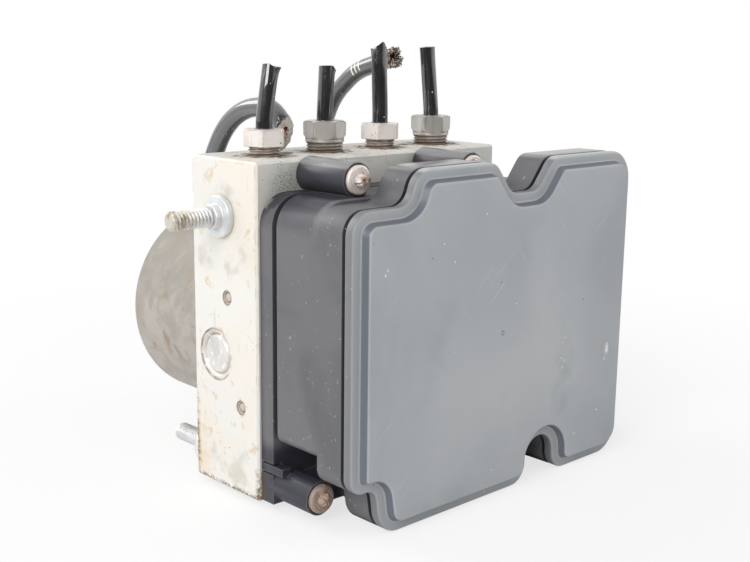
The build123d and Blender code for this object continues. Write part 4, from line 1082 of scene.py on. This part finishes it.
def make_motor_screws():
    """Three cap screws with hexagon sockets that hold the motor's lugs."""
    rows = [(0, -9), (1.7, -9), (1.95, -8.6), (1.95, 0), (3.45, 0), (3.6, 0.2), (3.6, 2),
            (3.45, 2.3), (3.2, 2.4), (2, 2.4), (1.5, 2.2, 1.73), (1.5, 0.9, 1.73), (0, 0.7)]
    places = []
    for turn in (90, 210, 330):
        angle = radians(turn)
        places.append(facing(MOTOR_X + LUG_REACH * cos(angle), BLOCK_REAR + LUG_T,
                             PUMP_Z + LUG_REACH * sin(angle), "+Y"))
    finish = metal("cap_screw_zinc", (0.66, 0.66, 0.64), 0.4, 0.5, 0.9, (0.26, 0.17, 0.11))
    fasten("motor_cap_screws", rows, 48, places, 32, finish, "zinc_steel", "motor_screws")


def make_ball_plugs():
    """Pressed balls, staked into the drillings with a raised ring of metal."""
    ball = [(1.6 * cos(radians(step)), -1 + 0.75 * sin(radians(step)))
            for step in range(10, 90, 10)]
    rows = [(0, -4.5), (2.3, -4.5), (2.3, -0.5), (2, -0.42), (1.75, -0.62), (1.62, -1), *ball,
            (0, -0.25)]
    places = [facing(side * INLET_X, 2, BLOCK_TOP, "+Z") for side in (-1, 1)]
    places += [facing(side * BLOCK_HALF, y, z, name) for side, name in ((-1, "-X"), (1, "+X"))
               for y, z in BALL_PLUGS]
    finish = metal("ball_plug_steel", (0.6, 0.55, 0.49), 0.5, 0.9, 0.4, (0.25, 0.16, 0.1))
    fasten("ball_plugs", rows, 40, places, 40, finish, "plug_steel", "sealing_plugs")


# ---- pieces shaped after the solids
def solid_copy(name, node):
    """A free copy of a solid, with a mesh of its own and no finish."""
    made = twin(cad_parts[node])
    made.name = name
    made.data.name = name
    made.parent = None
    made.data.materials.clear()
    return made


def softened(name, node, width, segments, finish, slot):
    """A copy of a solid with its sharp edges rounded off."""
    made = solid_copy(name, node)
    select(made)
    clean_mesh(0.004, bpy.ops.mesh.dissolve_limited, angle_limit=radians(0.8))
    set_up(made.modifiers.new("corners", "BEVEL"), width=width * MM, segments=segments,
           limit_method="ANGLE", angle_limit=radians(40), miter_outer="MITER_ARC")
    bpy.ops.object.modifier_apply(modifier="corners")
    bpy.ops.object.shade_smooth_by_angle(angle=radians(30))
    finish_piece(made, finish, slot, node)


def make_gasket():
    """The case's rubber gasket, rounded at its corners."""
    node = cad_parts["housing_gasket"]
    spots = [node.matrix_world @ Vector(corner) / MM for corner in node.bound_box]
    low, high = (Vector([pick(axis) for axis in zip(*spots)]) for pick in (min, max))
    steps = 8
    path = []
    for turn, (x, z) in enumerate(((high.x, high.z), (low.x, high.z), (low.x, low.z),
                                   (high.x, low.z))):
        middle = Vector((x - copysign(GASKET_R, x - low.x - 1), 0,
                         z - copysign(GASKET_R, z - low.z - 1)))
        for step in range(steps + 1):
            angle = radians(90 * (turn + step / steps))
            path.append((middle, Vector((cos(angle), 0, sin(angle)))))
    path.append(path[0])
    inner = GASKET_R - GASKET_W
    rows = [(GASKET_R, low.y), (GASKET_R, high.y), (inner, high.y), (inner, low.y),
            (GASKET_R, low.y)]

    def shape(around, along):
        middle, out = path[round(around * (len(path) - 1))]
        radius, y = rows[round(along * 4)]
        return middle + out * radius + Vector((0, y, 0))

    made = settle(sheet("gasket", len(path) - 1, 4, shape), 40)
    finish_piece(made, moulded("gasket_rubber_black", (0.02, 0.02, 0.02), 0.8),
                 "gasket_rubber", "housing_gasket")


def make_motor_shell():
    """The motor's can, drawn a little deeper than its solid."""
    shell = solid_copy("motor_shell", "motor_can")
    turn = shell.matrix_world.copy()
    for vertex in shell.data.vertices:
        place = turn @ vertex.co
        if place.y > (BLOCK_REAR + 30) * MM:
            place.y += MOTOR_DEEPER * MM
            vertex.co = turn.inverted() @ place
    settle(shell, 30)
    finish_piece(shell, motor_finish(), "motor_steel", "motor_can")


# ---- finishes of the solids
SIDES = ("left", "right")
INNER_METALS = [    # nodes; name, colour, roughness, amount of stain, metallic, its colour
    (["motor_shaft", "eccentric_ring", "front_bearing", "brush_springs", "pump_sleeves",
      "valve_bodies", "valve_springs", *(f"valve_armature_{number}" for number in range(1, 9)),
      *(f"{kind}_{side}" for side in SIDES
        for kind in ("pump_piston", "pump_spring", "accumulator_spring"))],
     "ground_steel", (0.66, 0.66, 0.67), 0.28, 0.25),
    (["shaft_bushes"], "sintered_bronze", (0.58, 0.42, 0.22), 0.5, 0.3),
    (["armature_winding", "commutator"], "enamelled_copper", (0.62, 0.27, 0.12), 0.35, 0.6, 0.9,
     (0.12, 0.05, 0.03)),
    (["armature_core"], "core_sheets", (0.26, 0.26, 0.27), 0.5, 0.4),
    (["magnets"], "dull_ferrite", (0.07, 0.07, 0.075), 0.7, 0.4, 0.2, (0.14, 0.13, 0.12)),
    (["motor_lead_pins", "connector_pins"], "tinned_brass", (0.7, 0.55, 0.28), 0.35, 0.2),
    (["valve_coils"], "coil_yoke", (0.15, 0.15, 0.16), 0.5, 0.3, 0.5),
    ([f"accumulator_piston_{side}" for side in SIDES], "piston_aluminium", (0.72, 0.71, 0.68),
     0.4, 0.2),
]


def dress(finish, *names):
    """Give solids that stay in the model their finish."""
    for name in names:
        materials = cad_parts[name].data.materials
        materials.clear()
        materials.append(finish.material)


def dress_solids():
    """Finishes of the inner parts, the block, the plugs, the case and the lid."""
    for names, *looks in INNER_METALS:
        dress(metal(*looks), *names)
    dress(moulded("inner_plastic_black", (0.03, 0.03, 0.032), 0.55), "brush_plate",
          "motor_lead_carrier")
    dress(moulded("brush_carbon", (0.025, 0.025, 0.027), 0.75), "brushes")
    dress(board_finish(), "circuit_board")
    dress(plug_finish(), "pump_plugs", "accumulator_caps")
    dress(block_finish(), "hydraulic_block")
    softened("control_unit_cover", "control_unit_lid", 0.55, 3, lid_finish(), "lid_plastic")
    softened("control_unit_case", "control_unit_housing", 0.25, 2, housing_finish(),
             "housing_plastic")


for make in (make_camera, make_stage, make_lights, dress_solids, make_motor_shell, make_gasket,
             make_nuts, make_pipes, make_shreds, make_studs, make_unit_screws,
             make_motor_screws, make_ball_plugs):
    make()

bpy.context.scene.view_settings.view_transform = "Standard"
